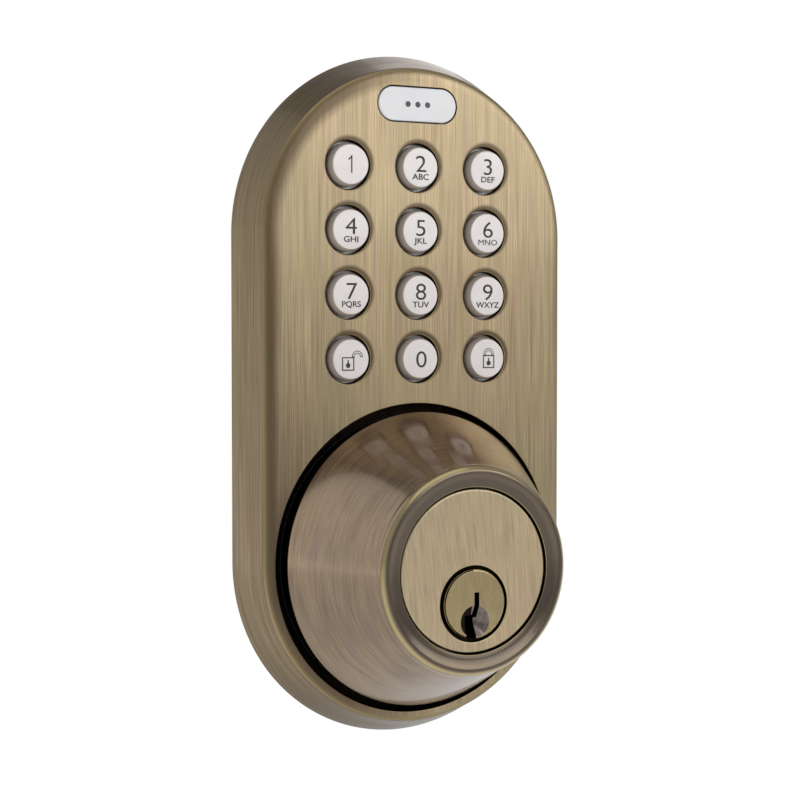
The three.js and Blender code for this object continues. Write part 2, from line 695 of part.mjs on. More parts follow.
const neckRadius = PLUG_RADIUS - NECK_STEP;
const neckFront = barrelBack - CLIP_GAP;
const neckBack = neckFront - CLIP_THICKNESS - 2 * CLIP_GAP;

function keyway() {
  const outline = new THREE.Shape();
  const slotLeft = SLOT_OFFSET - SLOT_WIDTH / 2;
  const wardLeft = WARD_OFFSET - WARD_WIDTH / 2;
  const below = -PLUG_RADIUS - OVERRUN;
  outline.moveTo(slotLeft, SLOT_TOP_ABOVE_AXIS);
  outline.lineTo(slotLeft, -WARD_TOP_BELOW_AXIS);
  outline.lineTo(wardLeft, -WARD_TOP_BELOW_AXIS);
  outline.lineTo(wardLeft, below);
  outline.lineTo(wardLeft + WARD_WIDTH, below);
  outline.lineTo(wardLeft + WARD_WIDTH, -WARD_TOP_BELOW_AXIS - SLOT_WIDTH / 2);
  outline.lineTo(slotLeft + SLOT_WIDTH, -WARD_TOP_BELOW_AXIS);
  outline.lineTo(slotLeft + SLOT_WIDTH, SLOT_TOP_ABOVE_AXIS);
  outline.closePath();
  return slab(outline, KEYWAY_BACK, plugFront + OVERRUN, 1);
}

function keyPlug() {
  const tailRadius = PLUG_RADIUS - TAIL_STEP;
  const blank = turned([
    [0, TAIL_END],
    [tailRadius, TAIL_END],
    [tailRadius, neckBack],
    [neckRadius, neckBack],
    [neckRadius, neckFront],
    [PLUG_RADIUS, neckFront],
    [PLUG_RADIUS, plugFront],
    [0, plugFront],
  ], MEDIUM_ROUND);
  const dimpleFoot = plugFront - DIMPLE_DEPTH;
  const dimple = turned([[0, dimpleFoot], [DIMPLE_RADIUS, plugFront], [0, plugFront]], SMALL_ROUND);
  const dimpleDrop = PLUG_RADIUS - DIMPLE_RIM - DIMPLE_RADIUS;
  const slotWidth = BLADE_WIDTH + 2 * BLADE_GAP;
  const slotHeight = BLADE_THICKNESS + 2 * BLADE_GAP;
  const bladeSlot = block(slotWidth, slotHeight, TAIL_END - OVERRUN, TAIL_END + BLADE_GRIP + BLADE_GAP);
  const cut = blank
    .subtract(keyway())
    .subtract(placed(dimple, 0, -dimpleDrop))
    .subtract(bladeSlot);
  const chamberTop = plugUp + PLUG_RADIUS + OVERRUN;
  return placed(cut, 0, plugUp).subtract(chambers(plugUp - WARD_TOP_BELOW_AXIS, chamberTop));
}

addPiece("key_plug", keyPlug(), ANTIQUE_BRASS);

PIN_LENGTHS.forEach((length, index) => {
  const top = plugUp + PLUG_RADIUS - PIN_SHEAR_GAP;
  const foot = top - length;
  const keyPin = turnedUpright([
    [0, foot],
    [PIN_RADIUS - PIN_POINT, foot],
    [PIN_RADIUS, foot + PIN_POINT],
    [PIN_RADIUS, top - PIN_SHEAR_GAP],
    [PIN_RADIUS - PIN_SHEAR_GAP, top],
    [0, top],
  ], TINY_ROUND);
  const driverFoot = plugUp + plugBore + PIN_SHEAR_GAP;
  const driverTop = driverFoot + DRIVER_LENGTH;
  const driver = turnedUpright([
    [0, driverFoot],
    [PIN_RADIUS, driverFoot],
    [PIN_RADIUS, driverTop],
    [0, driverTop],
  ], TINY_ROUND);
  addPiece(`key_pin_${index + 1}`, keyPin.translate([0, 0, pinDepths[index]]), PIN_BRASS);
  addPiece(`driver_pin_${index + 1}`, driver.translate([0, 0, pinDepths[index]]), ZINC_STEEL);
});

function plugClip() {
  const back = neckBack + CLIP_GAP;
  const front = back + CLIP_THICKNESS;
  const inner = neckRadius + CLIP_GAP;
  const outer = PLUG_RADIUS + CLIP_OVERHANG;
  const corners = [[inner, back], [outer, back], [outer, front], [inner, front], [inner, back]];
  const ring = turned(corners, MEDIUM_ROUND);
  return ring.subtract(placed(block(CLIP_MOUTH, outer, back - OVERRUN, front + OVERRUN), 0, -outer));
}

function tailpiece() {
  const outline = new THREE.Shape();
  const half = BLADE_WIDTH / 2;
  const head = TAIL_END + BLADE_GRIP;
  outline.moveTo(-half, head);
  outline.lineTo(-half, BLADE_END + BLADE_POINT);
  outline.lineTo(-half + BLADE_POINT / 2, BLADE_END);
  outline.lineTo(half - BLADE_POINT / 2, BLADE_END);
  outline.lineTo(half, BLADE_END + BLADE_POINT);
  outline.lineTo(half, head);
  outline.closePath();
  const blade = new THREE.ExtrudeGeometry(outline, { depth: BLADE_THICKNESS, bevelEnabled: false });
  return solid(blade.translate(0, 0, -BLADE_THICKNESS / 2).rotateX(Math.PI / 2));
}

addPiece("plug_clip", placed(plugClip(), 0, plugUp), ZINC_STEEL);
addPiece("tailpiece", placed(tailpiece(), 0, plugUp), ZINC_STEEL);

// ---------------------------------------------------------------- through-bolt posts

function mountingPost() {
  const collarFront = plateBack - REST_GAP;
  const studTip = barrelBack + LUG_HEIGHT - STUD_TIP_GAP;
  const stud = rod(STUD_RADIUS, POST_END + POST_THREAD_DEPTH + OVERRUN, studTip, TINY_ROUND);
  const thread = rod(POST_THREAD_RADIUS, POST_END - OVERRUN, POST_END + POST_THREAD_DEPTH, TINY_ROUND);
  const hex = rod(POST_ACROSS_FLATS / Math.sqrt(3), POST_END, collarFront, HEXAGON);
  return hex.add(stud).subtract(thread);
}

["mounting_post_left", "mounting_post_right"].forEach((name, index) => {
  addPiece(name, placed(mountingPost(), ...lugSpots[index]), ZINC_STEEL);
});

// Stand the lock up: z, out of the door, becomes -Y, and y, up the door, becomes +Z.
lock.rotation.x = Math.PI / 2;

export default lock;
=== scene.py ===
import json
import math
import bmesh
import bpy
from mathutils import Matrix, Vector

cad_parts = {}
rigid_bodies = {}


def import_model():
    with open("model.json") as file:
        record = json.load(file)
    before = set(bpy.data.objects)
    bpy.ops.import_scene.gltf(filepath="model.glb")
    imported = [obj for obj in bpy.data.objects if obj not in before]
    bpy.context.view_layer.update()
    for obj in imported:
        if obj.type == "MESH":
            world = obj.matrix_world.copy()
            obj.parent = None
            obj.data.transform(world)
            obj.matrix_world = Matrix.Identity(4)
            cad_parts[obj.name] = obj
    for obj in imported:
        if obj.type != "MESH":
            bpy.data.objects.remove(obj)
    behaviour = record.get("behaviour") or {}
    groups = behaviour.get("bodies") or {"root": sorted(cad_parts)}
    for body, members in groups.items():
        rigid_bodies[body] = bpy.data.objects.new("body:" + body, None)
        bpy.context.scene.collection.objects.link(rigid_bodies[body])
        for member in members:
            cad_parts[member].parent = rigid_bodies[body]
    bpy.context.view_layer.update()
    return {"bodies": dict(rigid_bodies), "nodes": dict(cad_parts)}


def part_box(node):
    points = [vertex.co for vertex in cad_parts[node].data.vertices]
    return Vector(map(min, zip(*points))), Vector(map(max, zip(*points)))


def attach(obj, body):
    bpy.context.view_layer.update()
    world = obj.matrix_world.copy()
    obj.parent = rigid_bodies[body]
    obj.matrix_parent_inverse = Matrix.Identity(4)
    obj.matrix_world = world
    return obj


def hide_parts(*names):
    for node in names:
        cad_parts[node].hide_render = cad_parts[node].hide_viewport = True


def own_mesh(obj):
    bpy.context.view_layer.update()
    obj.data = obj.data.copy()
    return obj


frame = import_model()


# ------------------------ escutcheon housing
# The case of the outdoor half: one zinc die casting, brass plated and toned dark. Its face is
# brushed up and down the door, which bares the brass, and the whole is lacquered. Its wall leans
# in to a softly rolled edge, and every opening in the face has a rounded lip.

mm = 0.001


def middle(node):
    """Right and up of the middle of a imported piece, in mm."""
    low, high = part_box(node)
    return (low[0] + high[0]) / 2 / mm, (low[2] + high[2]) / 2 / mm


def stands(node):
    """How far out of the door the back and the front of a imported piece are, in mm."""
    low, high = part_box(node)
    return -high[1] / mm, -low[1] / mm


def clear_bench():
    bpy.ops.object.select_all(action="DESELECT")


def take_up(name):
    """The new primitive gets its name, and its place goes into its mesh."""
    piece = bpy.context.object
    piece.name = piece.data.name = name
    bpy.ops.object.transform_apply(location=True, rotation=True, scale=True)
    return piece


def work_on(piece):
    clear_bench()
    bpy.context.view_layer.objects.active = piece
    piece.select_set(True)


def open_up():
    """Into edit mode, with all of the piece selected."""
    bpy.ops.object.mode_set(mode="EDIT")
    bpy.ops.mesh.select_all(action="SELECT")


def pick(kind, test):
    """In edit mode, select the points, edges or faces that pass a test."""
    mesh = bpy.context.object.data
    bpy.ops.mesh.select_mode(type=kind)
    bpy.ops.mesh.select_all(action="DESELECT")
    shape = bmesh.from_edit_mesh(mesh)
    for part in {"VERT": shape.verts, "EDGE": shape.edges, "FACE": shape.faces}[kind]:
        if test(part):
            part.select_set(True)
    shape.select_flush_mode()
    bmesh.update_edit_mesh(mesh)


def true_up():
    """In edit mode, close the seams and point every face outwards."""
    bpy.ops.mesh.select_all(action="SELECT")
    bpy.ops.mesh.remove_doubles(threshold=1e-6)
    bpy.ops.mesh.normals_make_consistent(inside=False)
    bpy.ops.object.mode_set(mode="OBJECT")


def cleaned(piece):
    """After machining, the slivers that the tools left are closed up."""
    work_on(piece)
    open_up()
    bpy.ops.mesh.remove_doubles(threshold=1e-7)
    bpy.ops.object.mode_set(mode="OBJECT")


def draw_out(way):
    """What is selected is drawn out, with walls behind it."""
    bpy.ops.mesh.extrude_region_move(TRANSFORM_OT_translate={"value": way})


def build_up(steps):
    """From the picked face, each step goes in by so many mm and out of the door by so many."""
    for inward, outward in steps:
        if inward:
            bpy.ops.mesh.inset(thickness=inward * mm, depth=outward * mm, use_even_offset=True)
        else:
            draw_out((0, -outward * mm, 0))


def pill(name, radius, reach, upright, place, foot, steps, flats=160):
    """A pill-shaped disc facing out of the door, its halves slid apart, then built up in steps."""
    clear_bench()
    bpy.ops.mesh.primitive_circle_add(
        vertices=flats, radius=radius * mm, fill_type="NGON",
        location=(place[0] * mm, -foot * mm, place[1] * mm),
        rotation=(math.pi / 2, math.pi / flats, 0))
    piece = take_up(name)
    slide = Vector((0, 0, reach * mm)) if upright else Vector((reach * mm, 0, 0))
    centre = Vector((place[0] * mm, 0, place[1] * mm))
    open_up()
    for side in (1, -1):
        pick("VERT", lambda point: side * (point.co - centre).dot(slide) > 0)
        bpy.ops.transform.translate(value=side * slide)
    pick("FACE", lambda face: True)
    build_up(steps)
    top = -(foot + sum(outward for inward, outward in steps)) * mm
    bpy.ops.transform.resize(value=(1, 0, 1), center_override=(0, top, 0))
    true_up()
    return piece


def turned(name, section, place, flats=128, upright=False):
    """A section of (radius, depth, easing) corners, drawn corner by corner and spun round."""
    right, up = place
    if upright:
        spots = [Vector(((right + corner[0]) * mm, -up * mm, corner[1] * mm)) for corner in section]
        centre, axis = (right * mm, -up * mm, 0), (0, 0, 1)
    else:
        spots = [Vector(((right + corner[0]) * mm, -corner[1] * mm, up * mm)) for corner in section]
        centre, axis = (right * mm, 0, up * mm), (0, 1, 0)
    clear_bench()
    bpy.ops.mesh.primitive_plane_add(size=mm, location=spots[0])
    piece = take_up(name)
    open_up()
    bpy.ops.mesh.select_mode(type="VERT")
    bpy.ops.mesh.merge(type="CENTER")
    for spot, further in zip(spots, spots[1:]):
        draw_out(further - spot)
    for corner, spot in zip(section, spots):
        if len(corner) > 2:
            pick("VERT", lambda point: (point.co - spot).length < 1e-7)
            bpy.ops.mesh.bevel(offset=corner[2] * mm, segments=5, affect="VERTICES")
    bpy.ops.mesh.select_all(action="SELECT")
    bpy.ops.mesh.spin(steps=flats, angle=2 * math.pi, center=centre, axis=axis)
    true_up()
    return piece


def rod(name, radius, low, high, place, flats=48, upright=False):
    """A round bar between two depths, for tools and small parts."""
    section = [(0, low), (radius, low), (radius, high), (0, high)]
    return turned(name, section, place, flats, upright)


def block(name, low, high):
    """A plain bar between two corners given as (right, depth, up), for tools and small parts."""
    clear_bench()
    spot = [(a + b) / 2 * mm for a, b in zip(low, high)]
    size = [abs(b - a) * mm for a, b in zip(low, high)]
    bpy.ops.mesh.primitive_cube_add(size=1, location=(spot[0], -spot[1], spot[2]), scale=size)
    return take_up(name)


def gathered(pieces):
    """Several loose shapes as one."""
    work_on(pieces[0])
    for piece in pieces:
        piece.select_set(True)
    bpy.ops.object.join()
    return bpy.context.object


def shaped(piece, kind, **settings):
    """A modifier with its settings, applied."""
    work_on(piece)
    step = piece.modifiers.new(kind.lower(), kind)
    for setting, value in settings.items():
        setattr(step, setting, value)
    bpy.ops.object.modifier_apply(modifier=step.name)


def machined(piece, tool, how="DIFFERENCE"):
    """A tool cuts a piece, or joins it, and is put away."""
    shaped(piece, "BOOLEAN", operation=how, solver="EXACT", object=tool)
    bpy.data.objects.remove(tool)


def broken_edges(piece, width, angle=35):
    """The sharp edges of a piece are broken by a small round."""
    shaped(piece, "BEVEL", width=width * mm, segments=2, limit_method="ANGLE",
           angle_limit=math.radians(angle), use_clamp_overlap=True)


def smoothed(piece, angle=32):
    """Rounds shade smoothly, and flats stay flat beside them."""
    work_on(piece)
    bpy.ops.object.shade_smooth_by_angle(angle=math.radians(angle))
    shaped(piece, "WEIGHTED_NORMAL", keep_sharp=True)


def copied(piece, name, right, up):
    """A like piece with its own mesh, so many mm away."""
    twin = piece.copy()
    twin.data = piece.data.copy()
    twin.name = twin.data.name = name
    bpy.context.collection.objects.link(twin)
    twin.data.transform(Matrix.Translation((right * mm, 0, up * mm)))
    return twin


def lip(radius, roll, face):
    """Corners of a tool that opens into a face with a rounded lip, and just clears it."""
    turns = [step * math.pi / 10 for step in range(6)]
    clear = face + 0.01
    return [(radius + roll * (1 - math.cos(turn)), clear - roll * (1 - math.sin(turn)))
            for turn in turns]


def rolled(width, height, steps=8):
    """Steps of a quarter round that goes in by width and out by height."""
    turns = [step * math.pi / 2 / steps for step in range(steps + 1)]
    inward = [width * (1 - math.cos(turn)) for turn in turns]
    outward = [height * math.sin(turn) for turn in turns]
    return [(inward[i + 1] - inward[i], outward[i + 1] - outward[i]) for i in range(steps)]


def feed(node, inputs):
    """Each input of a shader node is typed in or linked."""
    for socket, value in dict(inputs).items():
        if isinstance(value, bpy.types.NodeSocket):
            node.id_data.links.new(value, node.inputs[socket])
        else:
            node.inputs[socket].default_value = value


def put(tree, kind, inputs=(), **settings):
    """A new shader node, with its settings and inputs."""
    node = tree.nodes.new("ShaderNode" + kind)
    for setting, value in settings.items():
        setattr(node, setting, value)
    feed(node, inputs)
    return node


def reckon(tree, operation, *values):
    return put(tree, "Math", enumerate(values), operation=operation).outputs[0]


def times(tree, *values):
    return reckon(tree, "MULTIPLY", *values)


def spread(tree, value, low, high, new_low=0.0, new_high=1.0):
    """A value's range from low to high, spread over a new one."""
    ends = {0: value, 1: low, 2: high, 3: new_low, 4: new_high}
    return put(tree, "MapRange", ends).outputs[0]


def fade(tree, place, start, end, *shares):
    """A share that changes from one place to another, both in mm."""
    return spread(tree, place, start * mm, end * mm, *shares)


def split(tree, places):
    """Right, depth (into the door) and up."""
    return put(tree, "SeparateXYZ", {0: places}).outputs


def facing_out(tree, places):
    """One where the surface faces straight out of the door or into it, none where aside."""
    return reckon(tree, "ABSOLUTE", split(tree, places["Normal"])[1])


def distance(tree, right, up):
    flat = put(tree, "CombineXYZ", {0: right, 1: up}).outputs[0]
    return put(tree, "VectorMath", {0: flat}, operation="LENGTH").outputs[1]


def blend_colours(tree, share, first, second):
    return put(tree, "Mix", {0: share, 6: first, 7: second}, data_type="RGBA").outputs[2]


def blend_values(tree, share, first, second):
    return put(tree, "Mix", {0: share, 2: first, 3: second}, data_type="FLOAT").outputs[0]


def tone(red, green, blue):
    """A colour as the eye reads it, 0 to 255, as the shader's own."""
    parts = [part / 255 for part in (red, green, blue)]
    return (*[part / 12.92 if part <= 0.04045 else ((part + 0.055) / 1.055) ** 2.4
              for part in parts], 1)


def new_group(name, inputs, outputs):
    """An empty node group, with its named inputs and outputs."""
    tree = bpy.data.node_groups.new(name, "ShaderNodeTree")
    for label, kind in inputs:
        tree.interface.new_socket(label, in_out="INPUT", socket_type="NodeSocket" + kind)
    for label in outputs:
        tree.interface.new_socket(label, in_out="OUTPUT", socket_type="NodeSocketFloat")
    nodes = tree.nodes
    return tree, nodes.new("NodeGroupInput").outputs, nodes.new("NodeGroupOutput").inputs


def brushing_group():
    """Hair lines of an abrasive belt, and the broader bands it leaves, along a piece."""
    inputs = [("Across", "Float"), ("Along", "Vector"),
              ("Line Width", "Float"), ("Line Length", "Float")]
    tree, given, made = new_group("brushing", inputs, ["Lines", "Bands", "Shade"])
    per_length = reckon(tree, "DIVIDE", 1.0, given["Line Length"])
    for label, wider, longer, detail, low, high in (
            ("Lines", 1, 1, 3, 0.34, 0.66), ("Bands", 9, 1.5, 4, 0.36, 0.64),
            ("Shade", 70, 2, 1, 0.38, 0.62)):
        width = times(tree, given["Line Width"], float(wider))
        stretch = reckon(tree, "DIVIDE", per_length, float(longer))
        along = put(tree, "VectorMath", {0: given["Along"], 3: stretch}, operation="SCALE")
        noise = put(tree, "TexNoise", {
            "Vector": along.outputs[0], "W": reckon(tree, "DIVIDE", given["Across"], width),
            "Scale": 1.0, "Detail": float(detail), "Roughness": 0.6}, noise_dimensions="4D")
        tree.links.new(spread(tree, noise.outputs[0], low, high), made[label])
    return tree


def handling_group():
    """Soft smudges left by hands and weather, and fine grit."""
    inputs = [("Vector", "Vector"), ("Size", "Float")]
    tree, given, made = new_group("handling", inputs, ["Smudges", "Grit"])
    scale = reckon(tree, "DIVIDE", 1.0, given["Size"])
    for label, finer, detail in (("Smudges", 1.0, 3.0), ("Grit", 30.0, 2.0)):
        noise = put(tree, "TexNoise", {
            "Vector": given["Vector"], "Scale": times(tree, scale, finer),
            "Detail": detail}).outputs[0]
        tree.links.new(spread(tree, noise, 0.35, 0.65), made[label])
    return tree


brushing = brushing_group()
handling = handling_group()


def new_finish(name):
    """A bare material: its tree, its shader, and the places on the piece."""
    finish = bpy.data.materials.new(name)
    finish.use_nodes = True
    tree = finish.node_tree
    places = put(tree, "TexCoord")
    return finish, tree, tree.nodes["Principled BSDF"], places.outputs


def brushed_brass(name, across, tones, line, shade, lines, rough, stretch, lacquer, bump, wear_and_highlight,
                  spun=False):
    """Toned and brushed brass. `across` gives the ways of the brushing, where it is darkened by its
    toning and by painted shade, and where its edges are worn bare and lightened as a painted
    highlight. The tones are three bands, a shade, the dark toning and the bare brass, which also
    paints the edge highlights, and the line is a hair line's width and length in mm."""
    finish, tree, shader, places = new_finish(name)
    sideways, lengthways, toning_and_shade, worn_and_highlit = across(tree, places)
    *bands, shaded, dark, bare = [tone(*colour) for colour in tones]
    marks = put(tree, "Group", {
        "Across": sideways, "Along": lengthways, "Line Width": line[0] * mm,
        "Line Length": line[1] * mm}, node_tree=brushing).outputs
    worn = put(tree, "Group", {"Vector": places["Object"], "Size": 14 * mm}, node_tree=handling)
    ramp = put(tree, "ValToRGB", {0: marks["Bands"]})
    ramp.color_ramp.elements.new(0.5)
    for stop, place, colour in zip(ramp.color_ramp.elements, (0.0, 0.5, 1.0), bands):
        stop.position = place
        stop.color = colour
    colour = blend_colours(tree, times(tree, marks["Shade"], shade), ramp.outputs[0], shaded)
    between_lines = times(tree, spread(tree, marks["Lines"], 0.0, 1.0, 1.0, 0.0), lines)
    colour = blend_colours(tree, between_lines, colour, dark)
    # The toning, with painted shade laid over it, darkens the colour.
    if toning_and_shade is not None:
        colour = blend_colours(tree, toning_and_shade, colour, dark)
    gloss = spread(tree, marks["Lines"], 0.0, 1.0, rough - 0.05, rough + 0.05)
    scratches = put(tree, "Bump", {
        "Strength": bump, "Distance": 0.02 * mm, "Height": marks["Lines"]})
    # Rounded edges blend to the bare brass: wear, and a painted highlight.
    feed(shader, {
        "Base Color": blend_colours(tree, times(tree, worn_and_highlit, wear_and_highlight), colour, bare), "Metallic": 1.0,
        "Roughness": reckon(tree, "ADD", gloss, times(tree, worn.outputs["Smudges"], 0.05)),
        "Anisotropic": stretch, "Coat Weight": lacquer, "Coat Roughness": 0.06,
        "Normal": scratches.outputs[0]})
    if spun:
        round_y = put(tree, "Tangent", direction_type="RADIAL", axis="Y").outputs[0]
        feed(shader, {"Tangent": round_y, "Anisotropic Rotation": 0.25})
    return finish


def worn_and_highlit_edges(tree, facing, low, high):
    """Rounded edges, which face neither out nor aside, are worn bare by hands, and lightened
    further as a painted highlight.
    """
    middle_facing = (low + high) / 2
    return times(tree, spread(tree, facing, low, middle_facing),
                 spread(tree, facing, high, middle_facing))


# The toning of the case, and the painted shade laid over it: each changes between two places, in
# mm, from one share to another. The wall darkens toward its top and foot, and the face at its left
# rim, at its lower left and in a ring round each key.
wall_top_toning_and_shade, wall_foot_toning_and_shade = (25, 58, 0.35, 0.7), (-45, -64, 0.35, 0.8)
rim_painted_shade, rim_painted_shade_on_left = (28, 29.9, 0.0, 0.85), (5, -15)
corner_painted_shade_on_left, corner_painted_shade = (-5, -30), (15, -35, 0.0, 0.9)
# Painted shadow round the keys: its fade from outer to inner edge, and its shift right and up.
key_shadow_tone, key_shadow_shift = (5.35, 4.75, 0.0, 0.9), (0.3, 0.4)
keypad_top, keypad_foot, keypad_side = (50, 49.6), (1.0, 1.4), (21.6, 21.2)


def key_shadow_rings(tree, spot):
    """Painted shadow: a dark ring round each key, set a little right of it and up, where the key's
    shade falls on the face.
    """
    rings = []
    for way, first, pitch in ((0, key_shadow_shift[0], key_pitch[0]),
                              (2, key_places["0"][1] + key_shadow_shift[1], key_pitch[1])):
        from_first = reckon(tree, "SUBTRACT", spot[way], first * mm)
        rings.append(reckon(tree, "WRAP", from_first, pitch / 2 * mm, -pitch / 2 * mm))
    ring = fade(tree, distance(tree, *rings), *key_shadow_tone)
    for place, ends in ((spot[2], keypad_top), (spot[2], keypad_foot),
                        (reckon(tree, "ABSOLUTE", spot[0]), keypad_side)):
        ring = times(tree, ring, fade(tree, place, *ends))
    return ring


def up_the_door(tree, places):
    """The face is brushed up and down. The wall's marks follow its outline; the wall is darker with
    its toning, with painted shade toward its top and foot, and the face gets painted shade at its
    left rim, lower left and round the keys.
    """
    spot = split(tree, places["Object"])
    facing = facing_out(tree, places)
    bare = spread(tree, facing, 0.8, 0.97)
    sideways = blend_values(tree, bare, spot[1], spot[0])
    kept = times(tree, spot[0], reckon(tree, "SUBTRACT", 1.0, bare))
    lengthways = put(tree, "CombineXYZ", {0: kept, 2: spot[2]}).outputs[0]
    # The wall's toning, with painted shade growing toward its top and its foot.
    wall = reckon(tree, "MAXIMUM", fade(tree, spot[2], *wall_top_toning_and_shade),
                  fade(tree, spot[2], *wall_foot_toning_and_shade))
    # Painted shade along the face's left rim, beside the wall.
    past_arc = reckon(tree, "SUBTRACT", reckon(tree, "ABSOLUTE", spot[2]), arc_up * mm)
    outwards = distance(tree, spot[0], reckon(tree, "MAXIMUM", past_arc, 0.0))
    shaded_rim = times(tree, fade(tree, outwards, *rim_painted_shade), fade(tree, spot[0], *rim_painted_shade_on_left))
    # Painted shade at the face's lower left, where the guard shades it.
    corner = times(tree, fade(tree, spot[0], *corner_painted_shade_on_left), fade(tree, spot[2], *corner_painted_shade))
    outer = reckon(tree, "MAXIMUM", reckon(tree, "MAXIMUM", corner, shaded_rim), key_shadow_rings(tree, spot))
    toning_and_shade = blend_values(tree, bare, wall, outer)
    return sideways, lengthways, toning_and_shade, worn_and_highlit_edges(tree, facing, 0.6, 0.99)


def mount(piece, body, node):
    """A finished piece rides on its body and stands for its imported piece."""
    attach(piece, body)
    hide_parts(node)


def fit(piece, body, finish, node):
    """A piece of one finish gets it, and is mounted."""
    piece.data.materials.clear()
    piece.data.materials.append(finish)
    mount(piece, body, node)


def recoloured(piece, finish, test):
    """Patches that pass a test of their place (right, depth, up) and normal get another finish."""
    piece.data.materials.append(finish)
    for patch in piece.data.polygons:
        if test(patch.center.x / mm, -patch.center.y / mm, patch.center.z / mm, patch.normal):
            patch.material_index = len(piece.data.materials) - 1


half_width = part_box("housing")[1][0] / mm
arc_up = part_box("housing")[1][2] / mm - half_width
face = stands("housing")[1]
guard_axis = middle("cylinder_guard")
key_names = [body.removeprefix("button_") for body in frame["bodies"] if body.startswith("button_")]
key_places = {name: middle("key_" + name) for name in key_names}
lens_place = middle("status_lens")
plate_boss_places = [middle(f"plate_screw_{number}") for number in range(1, 5)]
board_boss_places = [middle(f"board_screw_{number}") for number in range(1, 5)]
key_pitch = [key_places["9"][0] - key_places["8"][0], key_places["2"][1] - key_places["5"][1]]
wall_lean, roll_width, roll_height, foot_height = 3.0, 2.3, 0.9, 0.15
rim_wall, room_wall, face_wall = 1.8, 4.8, 1.8
cavity_top = face - face_wall
plate_front = stands("back_plate")[1]
board_front = stands("circuit_board")[1]
boss_radius, screw_hole_radius, guard_room_radius = 2.3, 1.35, 31.2
outline_flats, seat_top = 192, plate_front + 2.0
key_hole_radius, key_hole_roll = 4.55, 0.4
opening_radius, opening_roll, seat_hole_radius = 29.5, 0.35, 22.9
lens_hole_radius, lens_hole_reach, lens_hole_roll = 3.42, 5.12, 0.15
shade_below_face, rim_band = 0.12, 4.4

housing = pill("housing_case", half_width, arc_up, True, (0, 0), 0, [
    (0, foot_height), (wall_lean, face - roll_height - foot_height),
    *rolled(roll_width, roll_height)], outline_flats)
machined(housing, pill("back_recess", half_width - rim_wall, arc_up, True, (0, 0), -1,
                       [(0, plate_front + 1)]))
room = pill("board_room", half_width - room_wall, arc_up, True, (0, 0), plate_front - 0.2,
            [(0, cavity_top - plate_front + 0.2)])
machined(room, rod("clear_of_guard", guard_room_radius, -2, 20, guard_axis, 96))
machined(room, block("below_guard", (-50, -3, -90), (50, 21, guard_axis[1])))
machined(housing, room)
bosses, screw_holes = [], []
for places, foot in ((plate_boss_places, plate_front), (board_boss_places, board_front)):
    for place in places:
        bosses.append(rod("boss", boss_radius, foot + 0.2, cavity_top + 0.1, place, 32))
        screw_holes.append(rod("screw_hole", screw_hole_radius, -1, cavity_top + 0.4, place, 24))
machined(housing, gathered(bosses), "UNION")
machined(housing, gathered(screw_holes))
lens_lip = [(inward, -outward)
            for inward, outward in reversed(rolled(lens_hole_roll, lens_hole_roll, 5))]
openings = [turned("guard_opening", [
    (0, -1), (seat_hole_radius, -1), (seat_hole_radius, seat_top), (opening_radius, seat_top),
    *lip(opening_radius, opening_roll, face), (opening_radius + opening_roll, face + 2),
    (0, face + 2)], guard_axis, outline_flats)]
openings.append(pill(
    "lens_opening", lens_hole_radius + lens_hole_roll, lens_hole_reach, False, lens_place, face + 1,
    [(0, -0.99), *lens_lip, (0, board_front + lens_hole_roll - face - 0.01)], 96))
for place in key_places.values():
    openings.append(turned("key_opening", [
        (0, board_front), (key_hole_radius, board_front),
        *lip(key_hole_radius, key_hole_roll, face), (key_hole_radius + key_hole_roll, face + 2),
        (0, face + 2)], place, 72))
machined(housing, gathered(openings))
cleaned(housing)
smoothed(housing)
case_brass = brushed_brass(
    "antique_brass_brushed_upright", up_the_door,
    [(188, 166, 133), (208, 188, 148), (198, 168, 146),
     (170, 160, 124), (90, 74, 55), (206, 186, 126)], (0.16, 22),
    shade=0.45, lines=0.6, rough=0.34, stretch=0.5, lacquer=0.3, bump=0.25, wear_and_highlight=0.45)
# Near-black brass, painted in as the shade inside the openings and gaps.
recess_shade_brass = brushed_brass(
    "antique_brass_painted_shade_in_recesses", up_the_door,
    [(34, 28, 22), (44, 36, 28), (30, 25, 22), (28, 24, 20), (16, 13, 11), (60, 48, 34)], (0.3, 6),
    shade=0.3, lines=0.3, rough=0.55, stretch=0.0, lacquer=0.0, bump=0.2, wear_and_highlight=0.3)
fit(housing, "escutcheon", case_brass, "housing")
# Painted shade: faces sunk below the face, inside the openings, get the near-black brass.
recoloured(housing, recess_shade_brass, lambda right, depth, up, normal: (
    depth < face - shade_below_face
    and math.hypot(right, max(abs(up) - arc_up, 0)) < half_width - rim_band))


# ------------------------ status lens
# A pill-shaped window moulded in frosted white acrylic, held from behind by its flange. Three
# small grey dots are printed on it, one for each thing that the lights behind it tell.


def moulded(name, colours, size, rough, bump=0.15, metal=0.0, coat=0.0, glow=0.0):
    """Plastic, rubber or plated steel: a mottled colour, with grit in the gloss and the surface."""
    finish, tree, shader, places = new_finish(name)
    worn = put(tree, "Group", {"Vector": places["Object"], "Size": size * mm},
               node_tree=handling).outputs
    grain = put(tree, "Bump", {"Strength": bump, "Distance": 0.03 * mm, "Height": worn["Grit"]})
    feed(shader, {
        "Base Color": blend_colours(tree, worn["Smudges"], *[tone(*colour) for colour in colours]),
        "Roughness": spread(tree, worn["Grit"], 0.0, 1.0, rough - 0.04, rough + 0.04),
        "Normal": grain.outputs[0], "Metallic": metal, "Coat Weight": coat,
        "Subsurface Weight": glow, "Subsurface Scale": mm})
    return finish


def with_print(piece, marks, ink):
    """The printed marks become part of the piece, in their own ink."""
    for mark in marks:
        mark.data.materials.clear()
        mark.data.materials.append(ink)
    return gathered([piece, *marks])


